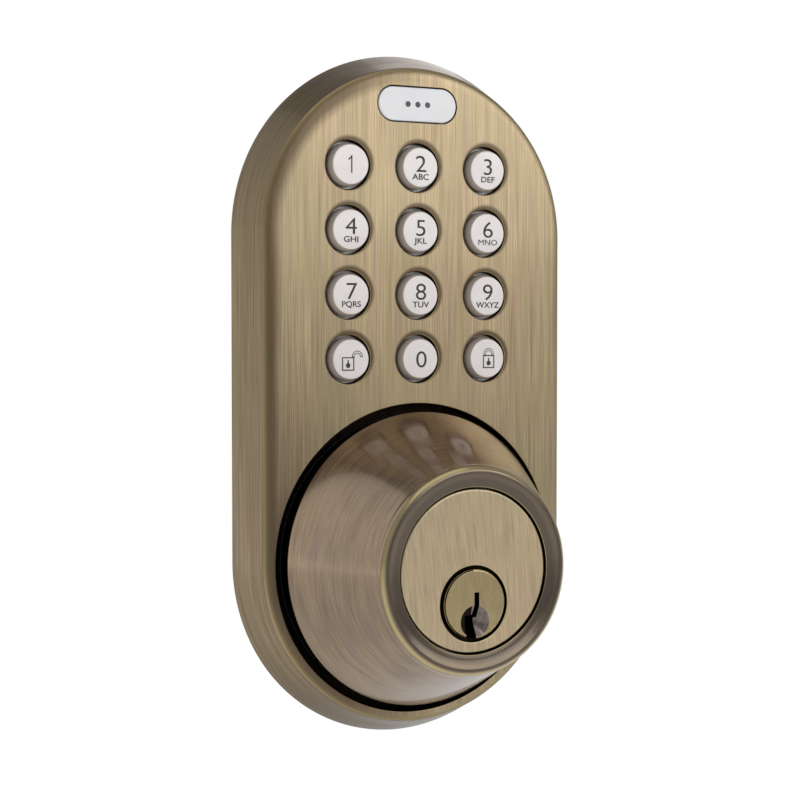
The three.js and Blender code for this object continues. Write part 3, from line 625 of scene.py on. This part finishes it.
lens_radius, flange_width, flange_thick, lens_edge = 3.2, 0.9, 0.7, 0.25
dot_radius, dot_pitch, ink_root, ink_height = 0.55, 2.1, 0.05, 0.02
lens_back, lens_front = stands("status_lens")
lens = pill(
    "status_window", lens_radius + flange_width, lens_hole_reach, False, lens_place, lens_back,
    [(0, flange_thick), (flange_width, 0), (0, lens_front - lens_back - flange_thick - lens_edge),
     *rolled(lens_edge, lens_edge, 5)], 96)
smoothed(lens)
lens_acrylic = moulded("frosted_acrylic", [(246, 246, 248), (250, 250, 251)],
                       size=5, rough=0.3, bump=0.04, coat=0.4, glow=0.15)
lens.data.materials.append(lens_acrylic)
lens_ink = moulded("lens_ink", [(96, 96, 100), (84, 84, 88)], size=2, rough=0.45)
dots = [rod("print", dot_radius, lens_front - ink_root, lens_front + ink_height,
            (lens_place[0] + step * dot_pitch, lens_place[1]), 40) for step in (-1, 0, 1)]
mount(with_print(lens, dots, lens_ink), "escutcheon", "status_lens")


# ------------------------ keys
# Twelve caps moulded in pearl white, hollow behind and each held by its flange under the face.
# Digits with their telephone letters, and an open and a shut padlock, are printed on the tops.

key_white = moulded("pearl_white_key", [(240, 233, 229), (246, 241, 238)],
                    size=6, rough=0.32, bump=0.02, coat=0.35, metal=0.12)
key_ink = moulded("key_ink", [(72, 70, 70), (58, 56, 56)], size=1.5, rough=0.5)
key_back, key_front = stands("key_1")
flange_front, cap_roof = cavity_top - 0.2, key_back + 2.4
cap_bore, cap_flange, cap_base, cap_top = 2.6, 5.6, 4.08, 3.66
cap = turned("cap", [
    (0, cap_roof), (cap_bore, cap_roof, 0.3), (cap_bore, key_back), (cap_flange, key_back, 0.12),
    (cap_flange, flange_front, 0.12), (cap_base, flange_front), (cap_base, face),
    (cap_top, key_front - 0.03, 0.14), (0, key_front)], (0, 0), 72)
smoothed(cap)
cap.data.materials.append(key_white)
# Painted shade: a darker copy of the pearl white for the keys' sides.
key_shade = moulded("pearl_white_key_side_painted_shade", [(198, 186, 174), (208, 196, 184)],
                    size=6, rough=0.36, bump=0.02, coat=0.3, metal=0.12)
recoloured(cap, key_shade, lambda right, depth, up, normal: normal.y > -0.55)
letters = {"2": "ABC", "3": "DEF", "4": "GHI", "5": "JKL",
           "6": "MNO", "7": "PQRS", "8": "TUV", "9": "WXYZ"}
digit_tall, digit_wide, digit_up, digit_weight = 3.25, 1.16, 0.75, -0.02
letters_tall, letters_up = 1.12, -1.75
capital_height = 0.73
print_foot, print_top = key_front - 0.06, key_front + ink_height


def printed(words, place, tall, wide, weight):
    """Characters of a given height, printed round a place on a key's top."""
    clear_bench()
    bpy.ops.object.text_add(rotation=(math.pi / 2, 0, 0))
    text = bpy.context.object.data
    text.body = words
    text.size = tall / capital_height * mm
    text.offset = weight * mm
    text.resolution_u = 6
    text.align_x = "CENTER"
    bpy.ops.object.convert(target="MESH")
    mark = take_up("print")
    foot = Vector((place[0] * mm, -print_foot * mm, (place[1] - tall / 2) * mm))
    mark.data.transform(Matrix.Translation(foot) @ Matrix.Diagonal((wide, 1, 1, 1)))
    open_up()
    draw_out((0, -(key_front - print_foot + ink_height) * mm, 0))
    true_up()
    return mark


def printed_one(place, line):
    """The figure one is a stem with a flag."""
    right, foot, head = place[0] + 0.25, place[1] - digit_tall / 2, place[1] + digit_tall / 2
    stem = block("print", (right - line, print_foot, foot), (right, print_top, head))
    clear_bench()
    bpy.ops.mesh.primitive_cube_add(
        size=1, rotation=(0, math.radians(-42), 0),
        location=((right - 0.42) * mm, -(print_foot + print_top) / 2 * mm, (head - 0.5) * mm),
        scale=(1.05 * mm, (print_top - print_foot) * mm, line * mm))
    return [stem, take_up("print")]


def padlock(place, case_at, bow_at, foot):
    """An outlined padlock with its keyhole; its case and bow are so far from the key's middle."""
    low, high = print_foot, print_top
    right, up = place[0] + case_at[0], place[1] + case_at[1]
    half, line, bow_lines, bow_end = 1.27, 0.22, ((1.12, 0.99), (0.72, 0.59)), 0.12
    case = block("print", (right - half, low, up - half), (right + half, high, up + half))
    machined(case, block("tool", (right - half + line, low - 1, up - half + line),
                         (right + half - line, high + 1, up + half - line)))
    hole = rod("print", 0.46, low, high, (right, up - 0.3), 40)
    stem = block("print", (right - 0.13, low, up - 0.2), (right + 0.13, high, up + 0.72))
    foot += place[1]
    right, up = place[0] + bow_at[0], place[1] + bow_at[1]
    bows = []
    for outer, inner in bow_lines:
        ring = turned("print", [(inner, low), (outer, low), (outer, high), (inner, high),
                                (inner, low)], (right, up), 48)
        machined(ring, block("tool", (right - 2, low - 1, up - 2), (right + 2, high + 1, up)))
        for side in (-1, 1):
            edge = sorted((right + side * outer, right + side * inner))
            bows.append(block("print", (edge[0], low, foot), (edge[1], high, up)))
        bows.append(ring)
    for side in (-1, 1):
        ends = sorted((right + side * bow_lines[0][0], right + side * bow_lines[1][1]))
        bows.append(block("print", (ends[0], low, foot), (ends[1], high, foot + bow_end)))
    return [case, hole, stem, *bows]


for name, place in key_places.items():
    right, up = place
    if name == "unlock":
        marks = padlock(place, (-0.62, -0.85), (1.3, 0.5), 0.42)
    elif name == "lock":
        marks = padlock(place, (0.3, -0.65), (0.3, 0.85), 0.6)
    elif name == "1":
        marks = printed_one((right + 0.05, up + 0.05), 0.26)
    elif name in letters:
        bold = 0.0 if "M" in letters[name] else 0.02
        wide = 1.1 if len(letters[name]) > 3 else 1.2
        marks = [printed(name, (right + 0.1, up + digit_up), digit_tall, digit_wide, digit_weight),
                 printed(letters[name], (right + 0.05, up + letters_up), letters_tall, wide, bold)]
    else:
        marks = [printed(name, (right + 0.2, up), digit_tall, digit_wide, digit_weight)]
    key = with_print(copied(cap, "key_cap_" + name, *place), marks, key_ink)
    mount(key, "button_" + name, "key_" + name)
bpy.data.objects.remove(cap)


# ------------------------ key boots
# A silicone rubber cone stands under each key. It pushes the key back out and shuts the contact
# on the board when it is crushed.

silicone = moulded("silicone_rubber", [(184, 188, 188), (172, 176, 176)],
                   size=3, rough=0.7, bump=0.2, glow=0.2)
boot_foot, boot_crown = stands("boot_1")
crown_inside, crushed_share = boot_crown - 0.5, 0.27
boot_shape = turned("boot", [
    (0, crown_inside), (2.8, crown_inside, 0.2), (3.9, boot_foot), (4.4, boot_foot, 0.1),
    (3.3, boot_crown, 0.25), (0, boot_crown)], (0, 0), 48)
smoothed(boot_shape)
for name, place in key_places.items():
    boot = copied(boot_shape, "key_boot_" + name, *place)
    fit(boot, "escutcheon", silicone, "boot_" + name)
    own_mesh(boot)
bpy.data.objects.remove(boot_shape)


# ------------------------ circuit board
# Glass-fibre board under green mask, with the controller, two status lights and the socket for
# the cable to the indoor half soldered on, held by four small screws.


def refinish(node, finish):
    """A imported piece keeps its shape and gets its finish."""
    finishes = frame["nodes"][node].data.materials
    finishes.clear()
    finishes.append(finish)


zinc_steel = moulded("zinc_plated_steel", [(176, 178, 182), (196, 198, 200)],
                     size=4, rough=0.34, bump=0.12, metal=1.0)
refinish("circuit_board", moulded("green_solder_mask", [(22, 84, 50), (28, 98, 60)],
                                  size=2, rough=0.4, bump=0.3, coat=0.3))
refinish("controller_chip", moulded("chip_epoxy", [(24, 24, 26), (34, 34, 36)],
                                    size=1, rough=0.55, bump=0.25))
refinish("cable_socket", moulded("ivory_nylon", [(226, 218, 198), (236, 230, 212)],
                                 size=2, rough=0.45, glow=0.1))
led_clear = moulded("led_resin", [(238, 232, 200), (246, 242, 216)],
                    size=1, rough=0.2, coat=0.5, glow=0.3)
for node in ("status_led_left", "status_led_right"):
    refinish(node, led_clear)
for number in range(1, 5):
    refinish(f"board_screw_{number}", zinc_steel)


# ------------------------ back plate, gasket and screws
# A pressed steel plate, zinc plated, closes the case. Four pan-head screws hold it to the case's
# bosses, and a rubber gasket lies between it and the door, with room for the door's bore.

plug_axis = middle("tailpiece")
post_places = [middle("mounting_post_left"), middle("mounting_post_right")]
plate_back = stands("back_plate")[0]
plate_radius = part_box("back_plate")[1][0] / mm
window_half, gasket_bridge = 7.5, 3.5
board_foot = guard_axis[1] + 31.7
window_low, window_high = board_foot - 16.5, middle("cable_socket")[1] + 3.5
plug_hole_radius, bolt_hole_radius, bore_room_radius = 8.2, 2.25, 24
gasket_hole_radius, through = 2.35, (-3, 6)
rubber = moulded("gasket_rubber", [(30, 30, 30), (40, 40, 40)], size=3, rough=0.78, bump=0.5)

plate = pill("case_back_plate", plate_radius, arc_up, True, (0, 0), plate_back,
             [(0, plate_front - plate_back)], outline_flats)
machined(plate, block("window", (-window_half, through[0], window_low),
                      (window_half, through[1], window_high)))
machined(plate, gathered([
    rod("drill", plug_hole_radius, *through, plug_axis),
    *[rod("drill", bolt_hole_radius, *through, place) for place in post_places],
    *[rod("drill", screw_hole_radius, *through, place) for place in plate_boss_places]]))
broken_edges(plate, 0.12, 50)
smoothed(plate)
fit(plate, "escutcheon", zinc_steel, "back_plate")

gasket = pill("case_gasket", plate_radius, arc_up, True, (0, 0), 0,
              [(0, plate_back)], outline_flats)
machined(gasket, rod("drill", bore_room_radius, *through, plug_axis, 160))
machined(gasket, block("window", (-window_half, through[0], window_low),
                       (window_half, through[1], board_foot - gasket_bridge)))
machined(gasket, gathered([
    rod("drill", gasket_hole_radius, *through, place) for place in plate_boss_places]))
broken_edges(gasket, 0.15, 50)
smoothed(gasket)
fit(gasket, "escutcheon", rubber, "door_gasket")

screw_back, screw_tip = stands("plate_screw_1")
screw_head, screw_neck, driver_deep = 2.1, 1.05, 0.38
threads = [(1.1 if step % 2 else 0.92, screw_back + 1.3 + step * 0.2) for step in range(14)]
screw = turned("screw", [
    (0, screw_back), (1.4, screw_back + 0.04), (screw_head, screw_back + 0.3, 0.12),
    (screw_head, screw_back + 0.55, 0.08), (screw_neck, screw_back + 0.55),
    (screw_neck, screw_back + 1.2), *threads, (0.5, screw_tip), (0, screw_tip)], (0, 0), 40)
for half_across, half_up in ((0.95, 0.19), (0.19, 0.95)):
    machined(screw, block("driver", (-half_across, screw_back - 1, -half_up),
                          (half_across, screw_back + driver_deep, half_up)))
smoothed(screw)
for number, place in enumerate(plate_boss_places, 1):
    fit(copied(screw, f"plate_fixing_screw_{number}", *place), "escutcheon", zinc_steel,
        f"plate_screw_{number}")
bpy.data.objects.remove(screw)


# ------------------------ cylinder guard and its washer
# A hollow cone turned from brass, toned and polished round its axis under lacquer. It turns
# freely on a nylon washer, so that a wrench can't grip it to twist the cylinder out.


def round_axis(place):
    """The brushing goes round an axis out of the door. What faces straight out is darkened as
    painted shade.
    """
    def across(tree, places):
        spot = split(tree, places["Object"])
        right = reckon(tree, "SUBTRACT", spot[0], place[0] * mm)
        up = reckon(tree, "SUBTRACT", spot[2], place[1] * mm)
        flat = put(tree, "CombineXYZ", {0: right, 2: up}).outputs[0]
        radius = put(tree, "VectorMath", {0: flat}, operation="LENGTH").outputs[1]
        heading = put(tree, "VectorMath", {0: flat}, operation="NORMALIZE").outputs[0]
        reach = put(tree, "VectorMath", {0: heading, 3: 20 * mm}, operation="SCALE").outputs[0]
        facing = facing_out(tree, places)
        # Painted shade: the front ring, which faces straight out, is darkened.
        toning_and_shade = spread(tree, facing, 0.85, 0.98, 0.0, 0.9)
        slant = reckon(tree, "SUBTRACT", radius, spot[1])
        # The nose's rounded edge is worn bare and gets a painted highlight.
        return slant, reach, toning_and_shade, worn_and_highlit_edges(tree, facing, 0.48, 0.96)
    return across


guard_back, guard_front = stands("cylinder_guard")
guard_base, guard_shelf = face + 1.5, guard_front - 3.15
slide_radius, skirt_radius, base_radius = 25.2, 27.4, 28.2
nose_radius, nose_wide, nose_deep = 17.9, 1.5, 1.8
mouth_radius, shelf_radius, shelf_thick = 15.25, 14.1, 1.5
nose = [(nose_radius + nose_wide * math.cos(turn), guard_front - nose_deep * (1 - math.sin(turn)))
        for turn in [step * math.pi / 20 for step in range(10)]]
guard = turned("guard_cone", [
    (slide_radius, guard_back), (skirt_radius, guard_back, 0.2),
    (skirt_radius, guard_base - 0.8, 0.2), (base_radius, guard_base, 0.5), *nose,
    (nose_radius, guard_front, 0.3), (16.6, guard_front - 0.42, 0.5),
    (mouth_radius, guard_front - 0.6, 0.15),
    (mouth_radius, guard_shelf), (shelf_radius, guard_shelf, 0.1),
    (shelf_radius, guard_shelf - shelf_thick), (18.5, guard_shelf - shelf_thick, 0.5),
    (slide_radius, guard_base, 1.0), (slide_radius, guard_back)], guard_axis, outline_flats)
smoothed(guard, 40)
guard_brass = brushed_brass(
    "antique_brass_turned", round_axis(guard_axis),
    [(156, 134, 110), (176, 153, 124), (164, 138, 122),
     (134, 122, 107), (84, 74, 63), (216, 200, 136)], (0.22, 9),
    shade=0.4, lines=0.4, rough=0.2, stretch=0.55, lacquer=0.6, bump=0.12, wear_and_highlight=0.8, spun=True)
fit(guard, "guard", guard_brass, "cylinder_guard")


def round_from(axis, right, up, normal):
    """How far a place is from an axis out of the door, and how much it faces away from it."""
    spoke = Vector((right - axis[0], 0, up - axis[1]))
    return spoke.length, normal.dot(spoke.normalized())


def shaded_inside_guard(right, depth, up, normal):
    facing_away = round_from(guard_axis, right, up, normal)[1]
    inner_wall = facing_away < -0.1 and depth < guard_front - 0.65
    return depth < guard_base - 0.9 or normal.y > 0.3 or inner_wall


# Painted shade: the guard's inside, back and foot get the near-black brass.
recoloured(guard, recess_shade_brass, shaded_inside_guard)

nylon = moulded("black_nylon", [(40, 40, 40), (52, 52, 52)], size=3, rough=0.5)
washer_back, washer_front = stands("guard_washer")
washer_hole = 24.4
washer = turned("guard_slip_washer", [
    (washer_hole, washer_back), (skirt_radius, washer_back, 0.12),
    (skirt_radius, washer_front, 0.12), (washer_hole, washer_front, 0.12),
    (washer_hole, washer_back)], guard_axis, 128)
smoothed(washer)
fit(washer, "escutcheon", nylon, "guard_washer")


# ------------------------ lock cylinder
# The fixed barrel, cast with two lugs for the through bolts. Its head closes the guard's mouth
# and is brushed nearly upright; the hole for the plug sits low in it, with a rounded lip.


def nearly_upright(tilt):
    """Straight brushing that leans a little from the vertical."""
    def across(tree, places):
        spot = split(tree, put(tree, "VectorRotate", {
            "Vector": places["Object"], "Axis": (0, 1, 0), "Angle": math.radians(tilt)}).outputs[0])
        lengthways = put(tree, "CombineXYZ", {1: spot[1], 2: spot[2]}).outputs[0]
        # The head's rim and the plug's rim are worn bare and get a painted highlight.
        return spot[0], lengthways, None, worn_and_highlit_edges(tree, facing_out(tree, places), 0.3, 0.99)
    return across


body_back, head_front = stands("cylinder_body")
head_back = head_front - 2.1
lug_top = body_back + 10
barrel_radius, head_radius, lug_radius = 13.7, 15, 4
bore_radius, bore_lip_radius, bore_lip_roll = 6.43, 6.95, 0.3
chamber_radius, cover_half, cover_deep, cover_reach = 1.52, 2.12, 1.52, 2.2
body = turned("barrel", [
    (0, body_back), (barrel_radius, body_back, 0.3), (barrel_radius, head_back),
    (head_radius, head_back, 0.15), (head_radius, head_front, 0.5),
    (0, head_front)], guard_axis, 160)
lugs = [turned("lug", [(0, body_back), (lug_radius, body_back, 0.2), (lug_radius, lug_top, 0.3),
                       (0, lug_top)], place, 56) for place in post_places]
bridge = block("bridge", (post_places[0][0], body_back + 0.04, plug_axis[1] - 2),
               (post_places[1][0], lug_top - 0.04, plug_axis[1] + 2))
for joined in (bridge, *lugs):
    machined(body, joined, "UNION")
machined(body, turned("plug_bore", [
    (0, -1), (bore_radius, -1), (bore_radius, head_front - 1.2),
    (bore_lip_radius, head_front - 1.2), *lip(bore_lip_radius, bore_lip_roll, head_front),
    (bore_lip_radius + bore_lip_roll, head_front + 2), (0, head_front + 2)], plug_axis, 128))
machined(body, gathered([
    rod("drill", bolt_hole_radius, -1, lug_top - 1, place) for place in post_places]))
pin_boxes = [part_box(f"key_pin_{number}") for number in range(1, 6)]
pin_depths = [-(low[1] + high[1]) / 2 / mm for low, high in pin_boxes]
chamber_top = guard_axis[1] + barrel_radius
machined(body, gathered([
    rod("chamber", chamber_radius, plug_axis[1], chamber_top + 1, (0, depth), 24, upright=True)
    for depth in pin_depths]))
machined(body, block(
    "cover_slot", (-cover_half, pin_depths[4] - cover_reach, chamber_top - cover_deep),
    (cover_half, pin_depths[0] + cover_reach, chamber_top + 2)))
smoothed(body)
face_brass = brushed_brass(
    "antique_brass_cylinder", nearly_upright(6),
    [(198, 177, 143), (214, 193, 155), (204, 180, 153),
     (186, 174, 143), (132, 113, 92), (250, 236, 188)], (0.26, 10),
    shade=0.35, lines=0.45, rough=0.36, stretch=0.3, lacquer=0.3, bump=0.25, wear_and_highlight=0.9)
fit(body, "escutcheon", face_brass, "cylinder_body")
# Painted shade: the head's side in the guard's mouth and the bore's lip get the near-black brass.
recoloured(body, recess_shade_brass, lambda right, depth, up, normal: (
    depth < head_front - 0.3 and round_from(guard_axis, right, up, normal)[0] > head_radius - 0.1
    or depth < head_front - 0.15
    and round_from(plug_axis, right, up, normal)[0] < bore_lip_radius + 0.15))


# ------------------------ key plug
# Turned brass that the key turns. The keyway is broached from its front, a cone round it leads
# the key in, and five chambers are drilled from the top for the pins.

plug_back, plug_front = stands("key_plug")
neck_front, neck_back = body_back - 0.15, body_back - 1.05
plug_radius, tail_radius, neck_radius, plug_rim = 6.35, 5.8, 4.8, 0.42
plug_right, plug_up = plug_axis
slot_up, ward_up, keyway_end = plug_up + 2.1, plug_up - 2.1, 3
blade_half, blade_room, blade_deep = 3.4, 1.5, 3.3
dimple_place, dimple_radius, dimple_deep, beyond = (plug_right, plug_up - 3.2), 3.47, 1.7, 0.3
plug = turned("plug", [
    (0, plug_back), (tail_radius, plug_back, 0.3), (tail_radius, neck_back),
    (neck_radius, neck_back), (neck_radius, neck_front), (plug_radius, neck_front, 0.2),
    (plug_radius, plug_front, plug_rim), (0, plug_front)], plug_axis, 128)
machined(plug, block("slot", (-0.1, keyway_end, ward_up - 0.5), (0.9, plug_front + 2, slot_up)))
machined(plug, block("ward", (-1.75, keyway_end, plug_up - 8), (0.35, plug_front + 2, ward_up)))
machined(plug, turned("dimple", [
    (0, plug_front - dimple_deep), (dimple_radius, plug_front + beyond), (0, plug_front + beyond)],
    dimple_place, 64))
machined(plug, block("blade_slot", (-blade_half, plug_back - 1, plug_up - blade_room),
                     (blade_half, plug_back + blade_deep, plug_up + blade_room)))
machined(plug, gathered([
    rod("chamber", chamber_radius, ward_up, plug_up + 8, (0, depth), 24, upright=True)
    for depth in pin_depths]))
smoothed(plug)
plug_brass = brushed_brass(
    "antique_brass_plug", nearly_upright(3),
    [(164, 146, 106), (174, 156, 116), (168, 146, 112),
     (156, 146, 104), (124, 106, 76), (246, 232, 172)], (0.35, 6),
    shade=0.3, lines=0.15, rough=0.27, stretch=0.1, lacquer=0.4, bump=0.1, wear_and_highlight=0.9)
fit(plug, "plug", plug_brass, "key_plug")
worn_from = dimple_place[0] - 0.4


def in_dimple(depth, normal):
    return 0.7 < abs(normal.y) < 0.97 and depth > plug_front - 2


def keyhole_shade(right, depth, up, normal):
    bored = depth < plug_front - 0.3 and depth > neck_front and abs(normal.y) < 0.3
    return bored or (in_dimple(depth, normal) and right < worn_from)


def worn_by_keys(right, depth, up, normal):
    within = round_from(dimple_place, right, up, normal)[0] < 2.9
    return in_dimple(depth, normal) and right >= worn_from and within


# Painted shade: the keyway's walls and the left half of the cone round it get the near-black brass;
# the right half is worn grey metal.
recoloured(plug, recess_shade_brass, keyhole_shade)
worn_brass = moulded("brass_worn_grey_by_keys", [(112, 102, 98), (140, 130, 124)],
                     size=1, rough=0.28, bump=0.1, metal=1.0)
recoloured(plug, worn_brass, worn_by_keys)


# ------------------------ pins, springs and cover
# Brass key pins ride in the plug and steel driver pins above them. Coiled springs press them
# down, and a strip let into the barrel's top holds the springs in.

pin_brass = moulded("pin_brass", [(196, 160, 78), (206, 172, 92)], size=2, rough=0.28, metal=1.0)
for number in range(1, 6):
    refinish(f"key_pin_{number}", pin_brass)
    refinish(f"driver_pin_{number}", zinc_steel)
refinish("pin_cover", pin_brass)

spring_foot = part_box("driver_pin_1")[1][2] / mm + 0.05
spring_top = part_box("pin_cover")[0][2] / mm - 0.05
wire, coil_radius, coils = 0.15, 1.1, 9
for number, depth in enumerate(pin_depths, 1):
    clear_bench()
    bpy.ops.mesh.primitive_circle_add(
        vertices=8, radius=wire * mm, fill_type="NGON", rotation=(math.pi / 2, 0, 0),
        location=(0, -depth * mm, (spring_foot + wire) * mm))
    spring = bpy.context.object
    spring.name = spring.data.name = f"pin_spring_{number}"
    bpy.ops.object.transform_apply(location=False, rotation=True, scale=True)
    open_up()
    bpy.ops.transform.translate(value=(coil_radius * mm, 0, 0))
    bpy.ops.object.mode_set(mode="OBJECT")
    shaped(spring, "SCREW", angle=2 * math.pi, iterations=coils, steps=14, render_steps=14,
           screw_offset=(spring_top - spring_foot - 2 * wire) * mm / coils)
    take_up(spring.name)
    open_up()
    bpy.ops.mesh.fill_holes(sides=8)
    true_up()
    smoothed(spring, 60)
    spring.data.materials.append(zinc_steel)
    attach(spring, "escutcheon")


# ------------------------ plug clip and tailpiece
# A spring-steel clip in the plug's neck keeps the plug in the barrel. The tailpiece, a flat
# steel bar with its end narrowed, is held in the plug's tail and turns the bolt in the door.

clip_back, clip_front = stands("plug_clip")
clip_inside, clip_outside, clip_gap = 4.95, 7.8, 3.85
clip = turned("plug_retaining_clip", [
    (clip_inside, clip_back), (clip_outside, clip_back, 0.1), (clip_outside, clip_front, 0.1),
    (clip_inside, clip_front), (clip_inside, clip_back)], plug_axis, 96)
machined(clip, block("mouth", (-clip_gap, -5, plug_up - clip_outside * 1.5),
                     (clip_gap, 5, plug_up - clip_outside / 2)))
cleaned(clip)
smoothed(clip)
fit(clip, "plug", zinc_steel, "plug_clip")

tail_low, tail_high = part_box("tailpiece")
tail_end = tail_high[1]
tail = block("tailpiece_bar", (tail_low[0] / mm, -tail_high[1] / mm, tail_low[2] / mm),
             (tail_high[0] / mm, -tail_low[1] / mm, tail_high[2] / mm))
work_on(tail)
open_up()
pick("EDGE", lambda edge: all(point.co.y > tail_end - 1e-6 for point in edge.verts)
     and abs(edge.verts[0].co.x - edge.verts[1].co.x) < 1e-6)
bpy.ops.mesh.bevel(offset=1.4 * mm, segments=3)
bpy.ops.object.mode_set(mode="OBJECT")
broken_edges(tail, 0.2)
smoothed(tail)
fit(tail, "plug", zinc_steel, "tailpiece")


# ------------------------ mounting posts
# Two hexagonal steel posts reach into the door. Bolts from the indoor half screw into their
# threaded ends, and their studs hold the plate against the cylinder's lugs.

post_end, collar = stands("mounting_post_left")[0], plate_back - 0.2
across_flats, stud_radius, stud_tip = 8, 2, lug_top - 2
thread_outer, thread_inner, thread_pitch, thread_end = 2.1, 1.8, 0.35, post_end + 9
grooves = [(thread_outer if step % 2 else thread_inner, post_end + 0.5 + step * thread_pitch)
           for step in range(24)]
for name, place in zip(("left", "right"), post_places):
    clear_bench()
    bpy.ops.mesh.primitive_cylinder_add(
        vertices=6, radius=across_flats / math.sqrt(3) * mm, depth=(collar - post_end) * mm,
        location=(place[0] * mm, -(collar + post_end) / 2 * mm, place[1] * mm),
        rotation=(math.pi / 2, math.pi / 6, 0))
    post = take_up("post_" + name)
    broken_edges(post, 0.3)
    machined(post, turned("stud", [
        (0, collar - 1), (stud_radius, collar - 1), (stud_radius, stud_tip, 0.4),
        (0, stud_tip)], place, 40), "UNION")
    machined(post, turned("thread", [
        (0, post_end - 1), (2.5, post_end - 1), (2.5, post_end), (thread_outer, post_end + 0.4),
        *grooves, (thread_outer, thread_end), (0, thread_end)], place, 40))
    smoothed(post)
    fit(post, "escutcheon", zinc_steel, "mounting_post_" + name)


# ------------------------ studio
# A pale floor below the lock, which hangs as if on its door, and plain soft light from in front
# on the right, from the left and from above.

floor_wide, floor_up = 12, -0.2
clear_bench()
bpy.ops.mesh.primitive_plane_add(size=floor_wide, location=(0, 0, floor_up))
floor = take_up("floor")
pale, tree, shader, places = new_finish("pale_floor")
white = (1, 1, 1, 1)
feed(shader, {"Base Color": (0.85, 0.85, 0.85, 1), "Roughness": 0.7,
              "Emission Color": white, "Emission Strength": 0.24})
glow = put(tree, "Emission", {"Color": white, "Strength": 1.0})
seen = put(tree, "LightPath").outputs["Is Camera Ray"]
lit = put(tree, "MixShader", {0: seen, 1: shader.outputs[0], 2: glow.outputs[0]})
feed(tree.nodes["Material Output"], {0: lit.outputs[0]})
floor.data.materials.append(pale)


def softbox(name, place, wide, tall, glow):
    """A soft lamp aimed at the middle of the lock."""
    light = bpy.data.lights.new(name, "AREA")
    light.shape = "RECTANGLE"
    light.size, light.size_y = wide, tall
    light.energy = glow * wide * tall * math.pi
    lamp = bpy.data.objects.new(name, light)
    lamp.location = place
    lamp.rotation_euler = (Vector() - Vector(place)).to_track_quat("-Z", "Y").to_euler()
    bpy.context.collection.objects.link(lamp)


softbox("front_right_softbox", (0.53, -0.9, 0.36), 0.9, 0.6, 1.7)
softbox("left_softbox", (-0.8, 0.3, 0.4), 0.7, 1.3, 0.45)
softbox("back_softbox", (0.5, 0.8, 0.62), 0.6, 0.6, 1.0)
softbox("overhead_softbox", (0, -0.5, 1.0), 1.0, 1.0, 0.45)

studio = bpy.data.worlds.new("studio")
bpy.context.scene.world = studio
studio.use_nodes = True
tree = studio.node_tree
sky = tree.nodes["Background"]
height = split(tree, put(tree, "TexCoord").outputs["Generated"])[2]
dim = put(tree, "ValToRGB", {0: spread(tree, height, -1.0, 1.0)})
for stop, grey in zip(dim.color_ramp.elements, ((0.5, 0.5, 0.5, 1), (0.3, 0.3, 0.31, 1))):
    stop.color = grey
seen = put(tree, "LightPath").outputs["Is Camera Ray"]
feed(sky, {0: blend_colours(tree, seen, dim.outputs[0], white)})

camera = bpy.data.objects.new("camera", bpy.data.cameras.new("camera"))
bpy.context.collection.objects.link(camera)
camera.location = (-0.164395, -0.315331, 0.012987)
camera.rotation_euler = (math.radians(90 - 2.239), 0, math.radians(-27.584))
camera.data.lens = 82.12
camera.data.clip_start = 0.01
bpy.context.scene.camera = camera
bpy.context.scene.view_settings.view_transform = "Standard"
